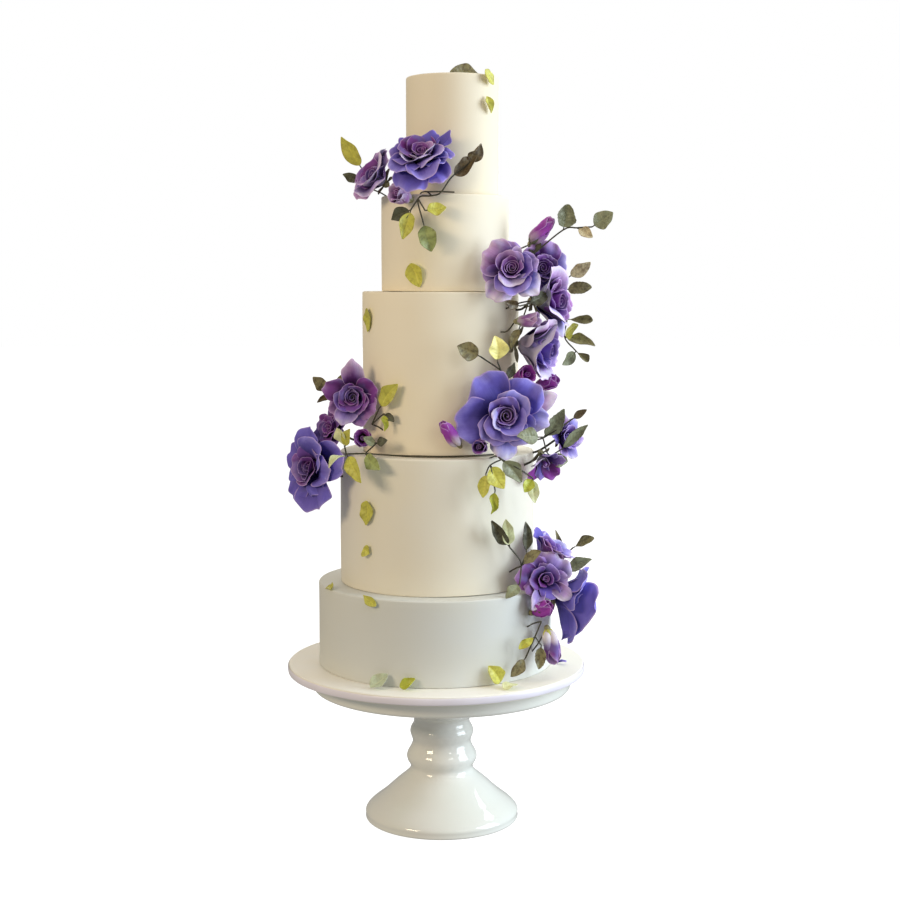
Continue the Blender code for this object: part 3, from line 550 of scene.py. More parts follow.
# Each sprig: tier, slot, wires as points of (azimuth, mm out, mm up), the wire that is pushed into
# the cake, and leaves as (kind, the wire and point that it grows from, tip, width in mm, azimuth
# that it faces, and how it differs from a plain leaf, if it does).
SPRIGS = {
    "sprig_top_left": (
        4, "leaf_lime",
        (((-102, 10, 108), (-96, 15, 122), (-94, 21, 130)), ((-102, 10, 108), (-92, 23, 116))),
        ((-102, 10, 108), (-95, 0, 104), (-88, -8, 99)),
        (("lime", (0, 2), (-89, 42, 163), 17, -20), ("dark", (1, 1), (-91, 41, 124), 12, -10)),
    ),
    "sprig_top_front": (
        4, "leaf_green",
        (
            ((-9, 17, 97), (-3, 17, 100), (5, 14, 116), (18, 10, 130)),
            ((-9, 17, 97), (-18, 20, 94), (-15, 17, 70)), ((-18, 20, 94), (-13, 21, 82)),
            ((-18, 20, 94), (-22, 24, 83)), ((-14, 8, 101.5), (-4, 3, 101.8), (8, 1, 101.4)),
        ),
        ((-9, 17, 97), (-14, 8, 101.5), (-21, -2, 101.5), (-26, -8, 99)),
        (
            ("brown", (0, 2), (24, 12, 137), 15, 10, {"curl": 0.9, "twist": 0.8}),
            ("brown", (0, 3), (27, 13, 150), 15, 20, {"curl": 0.8, "twist": -0.5}),
            ("green", (1, 2), (-10, 13, 41), 18, -15, {"curl": 0.7, "bend": 0.12}),
            ("lime", (2, 1), (1, 14, 86), 14, 5), ("dark", (3, 1), (-33, 32, 73), 13, -40),
            ("lime", (3, 1), (-25, 33, 53), 15, -20, {"curl": 0.8, "twist": 0.5}),
        ),
    ),
    "sprig_high_right": (
        4, "leaf_sage",
        (((65, 32, 38), (71, 62, 64), (72, 76, 66), (74, 91, 67)),),
        ((65, 32, 38), (66, 16, 30), (67, -1, 24)),
        (
            ("sage", (0, 1), (70, 68, 90), 19, 0, {"blunt": 1, "curl": 0.6, "ragged": 0.6}),
            ("tan", (0, 2), (73, 92, 56), 11, 20, {"curl": 0.9}),
            ("sage", (0, 3), (75, 112, 82), 18, -10), ("dark", (0, 0), (70, 35, 57), 12, 0),
        ),
    ),
    "sprig_high_side": (
        3, "leaf_olive",
        (((93, 54, 185), (94, 51, 172), (94, 53, 140), (92, 50, 121), (89, 62, 106)),),
        ((94, 51, 172), (90, 26, 160), (86, -1, 150)),
        (
            ("tan", (0, 0), (91, 77, 201), 13, 0),
            ("olive", (0, 1), (91, 79, 174), 13, 0, {"blunt": 1, "ragged": 0.5}),
            ("olive", (0, 2), (90, 80, 139), 9, 10, {"wide": 0.7, "spoon": 1, "blunt": 1}),
            ("bright", (0, 3), (79, 66, 135), 14, 30), ("olive", (0, 3), (86, 82, 112), 12, 0),
            ("olive", (0, 4), (86, 75, 95), 8, 0, {"wide": 0.7, "spoon": 1, "blunt": 1}),
            ("sage", (0, 4), (84, 48, 92), 12, 20),
        ),
    ),
    "sprig_high_low": (
        3, "leaf_olive",
        (((57, 30, 161), (50, 34, 158), (41, 40, 156)), ((50, 34, 158), (49, 25, 134))),
        ((57, 30, 161), (56, 14, 158), (55, -1, 152)),
        (
            ("dark", (0, 1), (61, 43, 168), 13, 10), ("brown", (0, 2), (33, 38, 160), 9, 0),
            ("olive", (1, 1), (41, 27, 112), 8, -20),
        ),
    ),
    "sprig_mid_left": (
        3, "leaf_olive",
        (((39, 23, 80), (35, 25, 90), (23, 21, 105)), ((35, 25, 90), (32, 27, 99))),
        ((39, 23, 80), (41, 11, 74), (43, -1, 66)),
        (
            ("olive", (0, 2), (10, 18, 116), 17, -10), ("yellow", (1, 1), (30, 27, 126), 19, 0),
            ("dark", (0, 0), (43, 29, 98), 9, 20),
        ),
    ),
    "sprig_mid_right": (
        3, "leaf_sage",
        (
            ((61, 39, 18), (64, 55, 29), (67, 66, 38)), ((61, 39, 18), (64, 43, 0), (68, 53, 5)),
            ((61, 39, 18), (53, 50, 21), (46, 59, 23)),
        ),
        ((61, 39, 18), (60, 19, 12), (59, -1, 8)),
        (
            ("sage", (0, 0), (64, 60, 49), 16, 0, {"ragged": 1}), ("brown", (0, 2), (69, 80, 48), 7, 0),
            ("sage", (1, 1), (71, 58, -8), 15, 10, {"ragged": 1}),
            ("sage", (1, 2), (74, 78, 31), 11, 15, {"ragged": 1, "twist": 0.8}),
            ("sage", (2, 2), (34, 54, 25), 16, 15),
        ),
    ),
    "sprig_mid_hanging": (
        2, "leaf_lime",
        (
            ((32, 21, 143), (26, 21, 138), (24, 20, 130)),
            ((32, 21, 143), (39, 27, 134), (47, 31, 122)), ((26, 21, 138), (28, 23, 112)),
        ),
        ((32, 21, 143), (33, 8, 145), (34, -6, 141.5)),
        (
            ("sage", (1, 0), (40, 31, 119), 16, 10), ("lime", (0, 1), (30, 33, 115), 18, 5),
            ("lime", (0, 2), (22, 22, 105), 12, -20),
            ("bright", (2, 1), (26, 23, 88), 11, -10, {"curl": 1.3, "twist": 1.2, "ragged": 1}),
            ("bright", (1, 2), (43, 28, 108), 11, 10), ("pale", (1, 2), (48, 32, 96), 11, 20),
        ),
    ),
    "sprig_left_upper": (
        3, "leaf_lime",
        (((-48, 12, 33), (-42, 11, 50)), ((-48, 12, 33), (-38, 11, 45))),
        ((-48, 12, 33), (-47, 5, 30), (-46, -1, 26)),
        (
            ("lime", (0, 1), (-28, 9, 76), 16, -20),
            ("bright", (1, 1), (-36, 14, 27), 8, 0, {"curl": 1.3, "twist": 1.2, "ragged": 1}),
            ("dark", (1, 1), (-31, 9, 37), 7, 10),
        ),
    ),
    "sprig_left_back": (
        3, "leaf_olive",
        (((-82, 25, 54), (-82, 32, 60), (-82, 40, 63)),),
        ((-82, 25, 54), (-80, 12, 50), (-78, -1, 44)),
        (
            ("olive", (0, 2), (-81, 54, 80), 12, -15), ("brown", (0, 1), (-81, 50, 52), 6, -10),
            ("olive", (0, 1), (-82, 23, 82), 9, -10),
        ),
    ),
    "sprig_left_lower": (
        3, "leaf_lime",
        (
            (
                (-46, 50, 5), (-41, 34, 5), (-33, 7, 1.8), (-18, 3, 1.8), (2, 3, 1.8), (22, 3, 1.8),
                (40, 3, 1.8),
            ),
            ((-46, 50, 5), (-46, 52, 12)), ((-41, 34, 5), (-37, 26, 15)),
        ),
        (),
        (
            ("pale", (1, 1), (-48, 58, 32), 11, -20, {"wide": 0.6, "curl": 0.5}),
            ("lime", (1, 1), (-42, 53, 32), 11, 0), ("lime", (0, 0), (-34, 58, -22), 15, -15),
            ("pale", (0, 0), (-47, 70, -10), 8, -30, {"curl": 1, "bend": 0.2}),
            ("sage", (2, 1), (-40, 38, 22), 9, -20), ("dark", (2, 1), (-31, 21, 19), 9, -10),
            ("green", (0, 1), (-29, 43, -9), 13, -15),
        ),
    ),
    "sprig_low_upper": (
        2, "leaf_green",
        (
            ((45, 20, 30), (43, 21, 38), (38, 18, 51)), ((45, 20, 30), (47, 23, 43)),
            ((45, 20, 30), (42, 24, 13)),
        ),
        ((45, 20, 30), (46, 10, 26), (47, -1, 20)),
        (
            ("dark", (0, 2), (29, 12, 80), 13, -10, {"curl": 0.9}),
            ("pale", (0, 2), (34, 24, 81), 13, 20, {"wide": 0.35}),
            ("dark", (1, 1), (47, 21, 76), 10, 10),
            ("olive", (0, 0), (44, 50, 50), 11, 10, {"wide": 0.6, "twist": 1}),
            ("sage", (2, 1), (34, 23, -1), 12, -10),
        ),
    ),
    "sprig_low_side": (
        2, "leaf_olive",
        (((86, 34, 10), (86, 33, 25), (86, 43, 36)),),
        ((86, 34, 10), (84, 16, 8), (82, -1, 4)),
        (
            ("olive", (0, 2), (86, 66, 47), 10, 0, {"spoon": 1, "curl": 0.8, "wide": 0.6}),
            ("sage", (0, 0), (85, 64, 24), 13, 0, {"ragged": 0.6, "twist": 0.5}),
            ("olive", (0, 1), (77, 26, 58), 5, 10),
        ),
    ),
    "sprig_low_hanging": (
        1, "leaf_lime",
        (((48, 22, 64), (45, 20, 49), (42, 14, 27)), ((45, 20, 49), (48, 22, 39))),
        ((48, 22, 64), (49, 10, 60), (50, -1, 54)),
        (
            ("lime", (0, 1), (38, 15, 38), 9, 0, {"wide": 0.55, "curl": 1}),
            ("olive", (0, 2), (36, 7, 8), 11, 0),
            ("olive", (1, 1), (47, 21, 14), 12, 10, {"ragged": 1, "curl": 0.6}),
        ),
    ),
}

# Each loose leaf: kind, tier, base, tip, width in mm, facing, and how it differs from a plain one.
LOOSE_LEAVES = (
    ("leaf_on_top", "olive", 5, (50, -14, 125), (-4, -14, 126), 16, (0, 2),
     {"wide": 0.55, "bend": 0.1, "curl": 0.4}),
    ("leaf_top_rim", "lime", 5, (40, 3, 128), (52, 4, 113), 12, (45, 20)),
    ("leaf_tier_5", "lime", 5, (43, 2, 101), (50, 2, 84), 9, (46, 0), {"curl": 0.8}),
    ("leaf_tier_4", "lime", 4, (-30, 2.5, 29), (-22, 2.5, 5), 17, (-27, 0)),
    ("leaf_tier_3", "lime", 3, (-62, 2.5, 153), (-63, 2.5, 128), 15, (-62, 0)),
    ("leaf_tier_2_upper", "lime", 2, (-42, 2.5, 97), (-43, 2.5, 71), 15, (-42, 0)),
    ("leaf_tier_2_lower", "lime", 2, (-45, 2.5, 46), (-40, 2.5, 42), 12, (-42, 0)),
    ("leaf_ledge_edge", "lime", 1, (-68, -6, 92), (-58, 2, 93), 10, (-60, 60),
     {"ragged": 1, "curl": 0.9, "twist": 0.6}),
    ("leaf_ledge_front", "lime", 1, (-35, 0, 93), (-27, 3, 84), 9, (-30, 30),
     {"wide": 0.6, "curl": 0.7}),
    ("leaf_board_left", "mint", 1, (-27, 16, 2.5), (-21, 5, 15), 15, (-25, 40)),
    ("leaf_board_front", "bright", 1, (-15, 7, 3), (-8.5, 5, 12), 13, (-10, 35),
     {"ragged": 1, "curl": 1, "twist": 0.5}),
    ("leaf_board_right", "lime", 1, (31, 4, 3), (25, 3, 22), 16, (28, 5)),
    ("leaf_board_flat", "pale", 1, (28, 22, 2), (35, 21, 3), 14, (30, 75)),
)

# The petals that lie on the board, each from its base to its tip.
FALLEN_PETALS = (((80, 8, 1.5), (82, 18, 1.5)),)

# ---------------------------------------------------------------- petals, leaves and wires


def blank(name, columns, rows):
    """A flat grid of clay, and each of its points as (across from -1 to 1, along from 0 to 1)."""
    deselect()
    bpy.ops.mesh.primitive_grid_add(x_subdivisions=columns, y_subdivisions=rows, size=2)
    made = bpy.context.active_object
    made.name = name
    return made, [(v.co.x, (v.co.y + 1) / 2) for v in made.data.vertices]


def paint(obj, layer, color):
    """Gives every point of a piece one colour in a named attribute."""
    layers = obj.data.color_attributes
    colors = layers[layer] if layer in layers else layers.new(layer, "FLOAT_COLOR", "POINT")
    colors.data.foreach_set("color", list(color) * len(obj.data.vertices))


def thicken(obj, thickness):
    """Gives sheets their thickness, marks their backs in the dye's alpha, and rounds them."""
    count = len(obj.data.vertices)
    modify(obj, "SOLIDIFY", thickness=thickness, offset=-1, use_even_offset=False)
    dye = obj.data.color_attributes["dye"].data
    for i in range(count, len(dye)):
        dye[i].color = (*dye[i].color[:3], 1.0)
    modify(obj, "SUBSURF", levels=1, render_levels=1)


def petal(form, turn, dye, rng, cut=PETAL_GRID):
    """One petal, in the flower's own axes and in its radii.

    form holds its length, width, its lean at the foot, in the middle and at the top, curl of the
    lip, cup, tip, the radius and height that it starts from, how far its sides overlap their
    neighbours, and how white its foot is.
    """
    length, width, foot, mid, lean, curl, cup, tip, start, rise, swirl, white = form
    made, grid = blank("petal", *cut)
    steps = 40
    line = [(start, rise)]
    leans = []
    for i in range(steps + 1):
        t = i / steps
        angle = foot + (mid - foot) * ease(t / 0.32) + (lean - mid) * ease((t - 0.22) / 0.4)
        leans.append(math.radians(angle + curl * ease((t - 0.6) / 0.4)))
        out, up = line[-1]
        step = length / steps
        line.append((out + math.sin(leans[-1]) * step, up + math.cos(leans[-1]) * step))
    phase = [rng.uniform(0, math.tau) for _ in range(3)]
    ruffle = rng.uniform(0.026, 0.062) * width
    flare = rng.uniform(0.12, 0.42) * ease(max(lean, 0) / 45)
    notch = rng.uniform(0.012, 0.034)
    slant = rng.uniform(-0.07, 0.07)
    offset = Vector([rng.uniform(-50, 50) for _ in range(3)])
    rotation = Matrix.Rotation(math.radians(turn), 3, "Z")
    for vertex, (s, t) in zip(made.data.vertices, grid):
        reach = 1 - (1 - tip) * 0.25 * abs(s) ** 2.8 - tip * 0.46 * abs(s) ** 1.2 + slant * s
        reach -= notch * (1 + math.sin(7 * s + phase[2])) + notch * 0.5 * math.sin(16 * s + phase[1])
        v = min(max(t * reach, 0.0), 1.0)
        at = v * steps
        i = min(int(at), steps - 1)
        out = line[i][0] + (line[i + 1][0] - line[i][0]) * (at - i)
        up = line[i][1] + (line[i + 1][1] - line[i][1]) * (at - i)
        angle = leans[i]
        half = width / 2 * (0.28 + 0.72 * ease(v / 0.62)) * (1 - 0.14 * ease((v - 0.72) / 0.28))
        wrap = math.radians(cup) * (1 - 0.3 * ease((v - 0.6) / 0.4))
        across = half * math.sin(s * wrap) / wrap
        inward = half * (1 - math.cos(s * wrap)) / wrap + swirl * s * half * ease(v / 0.4)
        inward -= flare * half * ease((abs(s) - 0.45) / 0.55) ** 1.5 * ease((v - 0.35) / 0.5)
        inward += 0.10 * half * math.sin(math.pi * (1.3 * s + v) + phase[2]) * ease(v / 0.6)
        wave = math.sin(2.4 * math.pi * s + phase[0]) + 0.5 * math.sin(5.3 * math.pi * s + phase[1])
        inward += ruffle * wave * ease((v - 0.45) / 0.55) * (0.35 + 0.65 * abs(s))
        point = Vector((out - math.cos(angle) * inward, -across, up + math.sin(angle) * inward))
        point += noise.noise_vector(point * 1.9 + offset) * 0.065 * ease(v / 0.5)
        point += noise.noise_vector(point * 5.0 + offset) * 0.024 * ease((v + abs(s) - 0.7) / 0.6)
        vertex.co = rotation @ point
    paint(made, "dye", (*dye, 0.0))
    paint(made, "grain", (white, 0, 0, 1))
    return made


def heart(spin, turns, width, height, dye, rng):
    """The rolled middle of a flower, in its radii."""
    made, grid = blank("heart", int(28 * turns), 7)
    start = rng.uniform(0, math.tau)
    foot = -0.1
    for vertex, (s, t) in zip(made.data.vertices, grid):
        u = (s + 1) / 2
        angle = start + spin * math.tau * turns * u
        out = 0.018 + (width - 0.018) * u**0.9
        out += 0.028 * ease((t - 0.72) / 0.28) + 0.012 * math.sin(angle * 2.3 + 1)
        out *= 0.72 + 0.28 * ease(t / 0.6)
        top = height * (0.9 + 0.1 * u) + 0.03 * math.sin(angle * 1.7)
        vertex.co = (out * math.cos(angle), out * math.sin(angle), foot + t * (top - foot))
    paint(made, "dye", (*dye, 0.0))
    return made


def petal_form(length, width, lean, curl, cup, tip, swirl):
    """A petal's form: the more it leans, the lower it starts and the flatter its foot lies."""
    flat = min(max(lean, 0) / 90, 1)
    foot, mid = 48 + 34 * flat, lean * (0.35 + 0.3 * flat)
    return (length, width, foot, mid, lean, curl, cup, tip, 0.07, -0.05 - 0.24 * flat, swirl, 0.0)


def sepals(count, length, width, rise, lean, color, rng):
    """The green points that hold a flower from behind."""
    made = []
    for i in range(count):
        lean_now = lean + rng.uniform(-12, 12)
        form = (length, width, 65, lean_now, lean_now, 25, 40, 1.0, 0.03, rise, 0.0, 0.0)
        turn = 360 * i / count + rng.uniform(-14, 14)
        made.append(petal(form, turn, color, rng, (5, 7)))
        paint(made[-1], "grain", (0.5, 1, rng.random(), 1))
    return made


def tube(points, radius, color):
    """A wire through a row of points."""
    data = bpy.data.curves.new("wire", "CURVE")
    data.dimensions = "3D"
    data.bevel_depth = radius
    data.bevel_resolution = 2
    data.use_fill_caps = True
    spline = data.splines.new("POLY")
    places = flowing(points, 5) if len(points) > 2 else [Vector(p) for p in points]
    spline.points.add(len(places) - 1)
    for point, place in zip(spline.points, places):
        point.co = (*place, 1)
    made = bpy.data.objects.new("wire", data)
    bpy.context.scene.collection.objects.link(made)
    select(made)
    bpy.ops.object.convert(target="MESH")
    made = bpy.context.active_object
    paint(made, "dye", (*color, 0.0))
    paint(made, "grain", (0.6, 0, 0.5, 1))
    return made


def leaf(base, tip, width, face, kind, rng, **form):
    """A sugar leaf from its base to its tip, folded along its midrib, with pressed veins.

    form may say how far it bends and twists (in radians), how blunt it is, how its sides curl up,
    where it is widest, how toothed its edge is and how hollow it is, like a spoon.
    """
    bend, twist, blunt = (form.get(key, 0.0) for key in ("bend", "twist", "blunt"))
    curl, ragged, spoon = (form.get(key, 0.0) for key in ("curl", "ragged", "spoon"))
    power = math.log(0.5) / math.log(form.get("wide", 0.42))
    made, grid = blank("leaf", *LEAF_GRID)
    color, mottle = LEAF_DYES[kind]
    along = tip - base
    length = along.length
    along = along.normalized()
    normal = (face - along * face.dot(along)).normalized()
    side = along.cross(normal)
    fold = rng.uniform(0.10, 0.45)
    phase = [rng.uniform(0, math.tau) for _ in range(3)]
    sway = rng.uniform(-0.07, 0.07)
    bow = bend + rng.uniform(-0.12, 0.14)
    roll_end = twist + rng.uniform(-0.45, 0.45)
    for vertex, (s, t) in zip(made.data.vertices, grid):
        shape = math.sin(math.pi * t ** power) ** (0.80 - 0.25 * blunt)
        half = width / 2 * max(0.04, shape) * (1 + 0.06 * math.sin(11 * t + phase[0] + s) * abs(s))
        tooth = (t * 7 + 0.15 * math.sin(5 * t + phase[1]) + 0.3 * s) % 1
        half *= 1 - ragged * 0.20 * tooth * abs(s) ** 3
        roll = roll_end * (t - 0.2) + 0.15 * math.sin(4 * t + phase[1])
        wrap = curl * ease(t / 0.5)
        across = s * half
        lift = fold * abs(s) ** 1.3 * half + spoon * 0.5 * half * s * s * ease(t / 0.6)
        if wrap:
            across = half * math.sin(s * wrap) / wrap
            lift += half * (1 - math.cos(s * wrap)) / wrap
        lift += 0.11 * half * math.sin(3.4 * math.pi * t + phase[2] + s) * abs(s)
        lift += 0.035 * half * math.cos(math.tau * (7 * t - 1.3 * abs(s))) * (1 - abs(s))
        lift -= 0.10 * half * max(0.0, 1 - abs(s) * 5)
        dent = Vector((across, along.x + t * length, width * phase[2])) * 1.3 / width
        lift += noise.noise(dent) * (0.14 + 0.16 * curl) * half
        x = across * math.cos(roll) - lift * math.sin(roll) + sway * length * math.sin(math.pi * t)
        z = across * math.sin(roll) + lift * math.cos(roll) + bow * length * math.sin(math.pi * t * 0.85)
        vertex.co = base + along * length * t + side * x + normal * z
    tone = rng.uniform(0.88, 1.12)
    paint(made, "dye", (*(min(1.0, c * tone) for c in color), 0.0))
    paint(made, "grain", (mottle, 1, rng.random(), 1))
    return made


def to_place(made, matrix):
    """Puts a mesh from its own axes where a matrix says."""
    made.data.transform(matrix)
    made.data.update()


# ---------------------------------------------------------------- settings


class CakeSettings(bpy.types.PropertyGroup):
    cream: bpy.props.FloatVectorProperty(
        name="Cream icing", description="Colour of the upper tiers",
        default=(0.88, 0.80, 0.63), subtype="COLOR", min=0, max=1,
    )
    grey: bpy.props.FloatVectorProperty(
        name="Grey icing", description="Colour of the lowest tier",
        default=(0.675, 0.685, 0.645), subtype="COLOR", min=0, max=1,
    )
    edge: bpy.props.FloatProperty(
        name="Tier edge", description="Radius of a tier's top edge", default=1.7 * MM, unit="LENGTH",
    )


class StandSettings(bpy.types.PropertyGroup):
    glaze: bpy.props.FloatVectorProperty(
        name="Glaze", description="Colour of the stand",
        default=(0.845, 0.84, 0.785), subtype="COLOR", min=0, max=1,
    )
    ribbon: bpy.props.FloatVectorProperty(
        name="Ribbon", description="Colour of the board's ribbon",
        default=(0.80, 0.76, 0.84), subtype="COLOR", min=0, max=1,
    )


class FlowerSettings(bpy.types.PropertyGroup):
    blue: bpy.props.FloatVectorProperty(
        name="Blue petals", description="Colour of the bluest petals",
        default=(0.152, 0.124, 0.54), subtype="COLOR", min=0, max=1,
    )
    plum: bpy.props.FloatVectorProperty(
        name="Plum petals", description="Colour of the reddest petals",
        default=(0.19, 0.045, 0.255), subtype="COLOR", min=0, max=1,
    )
    petal_thickness: bpy.props.FloatProperty(
        name="Petal thickness", description="Thickness of a sugar petal",
        default=0.6 * MM, unit="LENGTH",
    )


class LeafSettings(bpy.types.PropertyGroup):
    leaf_thickness: bpy.props.FloatProperty(
        name="Leaf thickness", description="Thickness of a sugar leaf", default=0.6 * MM, unit="LENGTH",
    )
    wire_radius: bpy.props.FloatProperty(
        name="Wire radius", description="Radius of a sprig's taped wire",
        default=0.8 * MM, unit="LENGTH",
    )


# ---------------------------------------------------------------- materials


def icing_material(name, color):
    """Smooth matt sugar paste, a little uneven in tone."""
    nodes = Nodes(name)
    place = nodes.place()
    cloud = nodes.between(nodes.noise(place, 9.0, 4.0), 0.35, 0.65)
    warm = tuple(c * k for c, k in zip(color, (1.0, 0.985, 0.95)))
    cool = tuple(c * k for c, k in zip(color, (0.985, 0.99, 1.0)))
    grain = nodes.noise(place, 900.0, 2.0)
    nodes.bump(grain * 0.4 + nodes.noise(place, 60.0, 3.0), 0.12, 0.0006)
    rough = 0.56 + nodes.noise(place, 30.0) * 0.1
    return nodes.finish(nodes.mix(cloud, warm, cool), rough, {"Specular IOR Level": 0.35})


def glaze_material(color):
    """White ceramic glaze, slightly greener in patches."""
    nodes = Nodes("stand_glaze")
    place = nodes.place()
    pooled = nodes.between(nodes.noise(place, 14.0, 2.0), 0.3, 0.7)
    tint = tuple(c * k for c, k in zip(color, (0.97, 0.99, 0.975)))
    nodes.bump(nodes.noise(place, 45.0, 2.0), 0.08, 0.0008)
    rough = 0.03 + nodes.noise(place, 80.0) * 0.04
    return nodes.finish(nodes.mix(pooled, color, tint), rough, {"Coat Weight": 0.4})


def ribbon_material(color):
    """Satin ribbon with fine threads along it and a soft sheen."""
    nodes = Nodes("ribbon_satin")
    place = nodes.place()
    x, y, z = nodes.split(place)
    threads = nodes.noise(nodes.add("CombineXYZ", None, {0: x * 40.0, 1: y * 40.0, 2: z * 5000.0}), 1.0)
    ripple = nodes.between(nodes.noise(place, 22.0, 2.0), 0.35, 0.65)
    pale = tuple(min(1.0, c * 1.06) for c in color)
    nodes.bump(threads, 0.25, 0.0002)
    rough = 0.3 + ripple * 0.12
    return nodes.finish(nodes.mix(ripple, color, pale), rough, {"Sheen Weight": 0.3})


def petal_material(settings):
    """Dusted sugar petals: deep at the foot, partly the dusting and partly painted shade of the flower's
    hollows, pale along the rim, greyer on the back.
    """
    nodes = Nodes("sugar_petal")
    place = nodes.place()
    dye = nodes.add("Attribute", {"attribute_name": "dye"}, None, "Color")
    back = nodes.add("Attribute", {"attribute_name": "dye"}, None, "Alpha")
    tint, pale, chance = nodes.split(dye)
    across, along, _ = nodes.split(nodes.add("UVMap", None, None, "UV"))
    side = nodes.magnitude(across * 2.0 - 1.0)
    fibre = nodes.add("CombineXYZ", None, {0: across * 46.0, 1: along * 2.5, 2: chance * 40.0})
    streak = nodes.noise(fibre, 1.0, 2.0)
    cloud = nodes.noise(place, 110.0, 3.0)
    depth = along + (streak - 0.5) * 0.10 + (cloud - 0.5) * 0.30
    blue, plum = tuple(settings.blue), tuple(settings.plum)
    # The deep colours at a petal's foot are partly the dusting and partly painted shade.
    deep_and_shade = nodes.mix(tint, (0.026, 0.018, 0.155), (0.030, 0.005, 0.048))
    body = nodes.mix(tint - 1.0, nodes.mix(tint, blue, plum), (0.34, 0.05, 0.40))
    light = nodes.mix(tint, (0.40, 0.37, 0.84), (0.56, 0.32, 0.60))
    vivid = nodes.between(0.0 - tint, 0.1, 0.4)
    deep_and_shade = nodes.mix(vivid, deep_and_shade, (0.05, 0.04, 0.28))
    body = nodes.mix(vivid, body, (0.19, 0.17, 0.72))
    patch = nodes.between(nodes.noise(place, 55.0, 2.0), 0.44, 0.6) * nodes.between(tint, 0.1, 0.5)
    patch = patch * (1.0 - nodes.between(tint, 1.15, 1.5))
    body = nodes.mix(patch * 0.7, body, (0.15, 0.125, 0.36))
    dusted = nodes.between(nodes.noise(place, 75.0, 2.0), 0.45, 0.6) * nodes.between(pale, 0.5, 0.9)
    light = nodes.mix(dusted * 0.7, light, (0.46, 0.42, 0.56))
    # Partly painted shade: each petal darkens to its deep colour towards its foot, where the flower's
    # hollows are shaded, and its back gets less of it.
    color = nodes.mix(nodes.between(depth + back * 0.3, 0.22, 0.9), deep_and_shade, body)
    glow = nodes.between(depth + pale * 0.6, 0.95, 1.5)
    color = nodes.mix(glow, color, light)
    color = nodes.mix(nodes.between(depth + pale * 0.6, 1.3, 1.7), color, (0.88, 0.82, 0.93))
    sides = nodes.between(side, 0.93, 0.985) * nodes.between(along, 0.3, 0.6)
    rim = nodes.between(along, 0.955, 0.99) + sides
    color = nodes.mix(rim * (0.36 + pale * 0.5) * (cloud + 0.4), color, (0.68, 0.48, 0.79))
    dusty = nodes.mix(glow, (0.24, 0.24, 0.32), (0.47, 0.46, 0.54))
    color = nodes.mix(back * nodes.between(pale, 0.55, 1.0) * 0.75, color, dusty)
    grain = nodes.add("Attribute", {"attribute_name": "grain"}, None, "Color")
    white = nodes.split(grain)[0]
    foot = white * (1.0 - nodes.between(depth, 0.25, 0.62))
    color = nodes.mix(foot, color, (0.80, 0.74, 0.78))
    nodes.bump(streak, 0.10, 0.0003)
    rough = 0.5 + cloud * 0.15
    uniform = {"Specular IOR Level": 0.22}
    return nodes.finish(color, rough, uniform)


def plant_material():
    """Sugar leaves and wires in the colours they were dusted with."""
    nodes = Nodes("sugar_leaf")
    place = nodes.place()
    dye = nodes.add("Attribute", {"attribute_name": "dye"}, None, "Color")
    back = nodes.add("Attribute", {"attribute_name": "dye"}, None, "Alpha")
    grain = nodes.add("Attribute", {"attribute_name": "grain"}, None, "Color")
    mottle, blade, chance = nodes.split(grain)
    across, along, _ = nodes.split(nodes.add("UVMap", None, None, "UV"))
    side = nodes.magnitude(across * 2.0 - 1.0)
    wave = nodes.add("Math", {"operation": "COSINE"}, {0: (along * 7.0 - side * 1.3) * math.tau})
    vein = nodes.between(wave, 0.75, 1.0) * 0.5 + (1.0 - nodes.between(side, 0.03, 0.10))
    cloud = nodes.between(nodes.noise(place, 210.0, 4.0, 0.6), 0.42, 0.66)
    dark = nodes.tone(dye, (0.34, 0.29, 0.31))
    edge = nodes.between(side + (cloud - 0.5) * 0.25, 0.72, 1.0)
    color = nodes.mix(mottle * cloud * blade, dye, dark)
    color = nodes.mix(mottle * edge * blade * 0.8, color, nodes.tone(dye, (0.5, 0.36, 0.30)))
    color = nodes.mix(vein * blade * 0.35, color, nodes.tone(dye, (1.35, 1.3, 1.2)))
    color = nodes.mix(back * 0.45, color, nodes.tone(dye, (1.15, 1.2, 1.5)))
    nodes.bump(vein * blade * 0.6 + cloud * 0.3, 0.35, 0.0005)
    rough = 0.40 + cloud * 0.2
    return nodes.finish(color, rough, {"Specular IOR Level": 0.45})


# ---------------------------------------------------------------- operators


class CAKE_OT_stand(bpy.types.Operator):
    """Turns the glazed pedestal stand"""

    bl_idname = "cake.stand"
    bl_label = "Stand"

    def execute(self, context):
        plate, _, _, high = disc("stand")
        top = high - 0.6 * MM  # under the board
        foot = FOOT_RADIUS * MM
        sides = [(radius * MM, height * MM) for radius, height in STAND_PROFILE]
        stem = flowing([*sides, (plate - 5 * MM, 147 * MM)], 4)
        heel = 2 * MM
        outline = [(0, 0), (foot - 3 * MM, 0)]
        outline += arc((foot - heel, heel), (heel, heel), -80, 20, 5)
        outline += [tuple(point) for point in stem]
        lip, brim = 4 * MM, 3 * MM
        outline += arc((plate - lip, 151.2 * MM), (lip, lip), -70, 0, 5)
        outline += arc((plate - brim, high - brim), (brim, brim), 0, 90, 6)
        outline += [(plate - 12 * MM, top), (0, top)]
        stand = turned("pedestal", outline, 128)
        smooth(stand, 50)
        dress(stand, glaze_material(tuple(context.scene.cake_stand.glaze)), "stand_glaze", "stand")
        return {"FINISHED"}


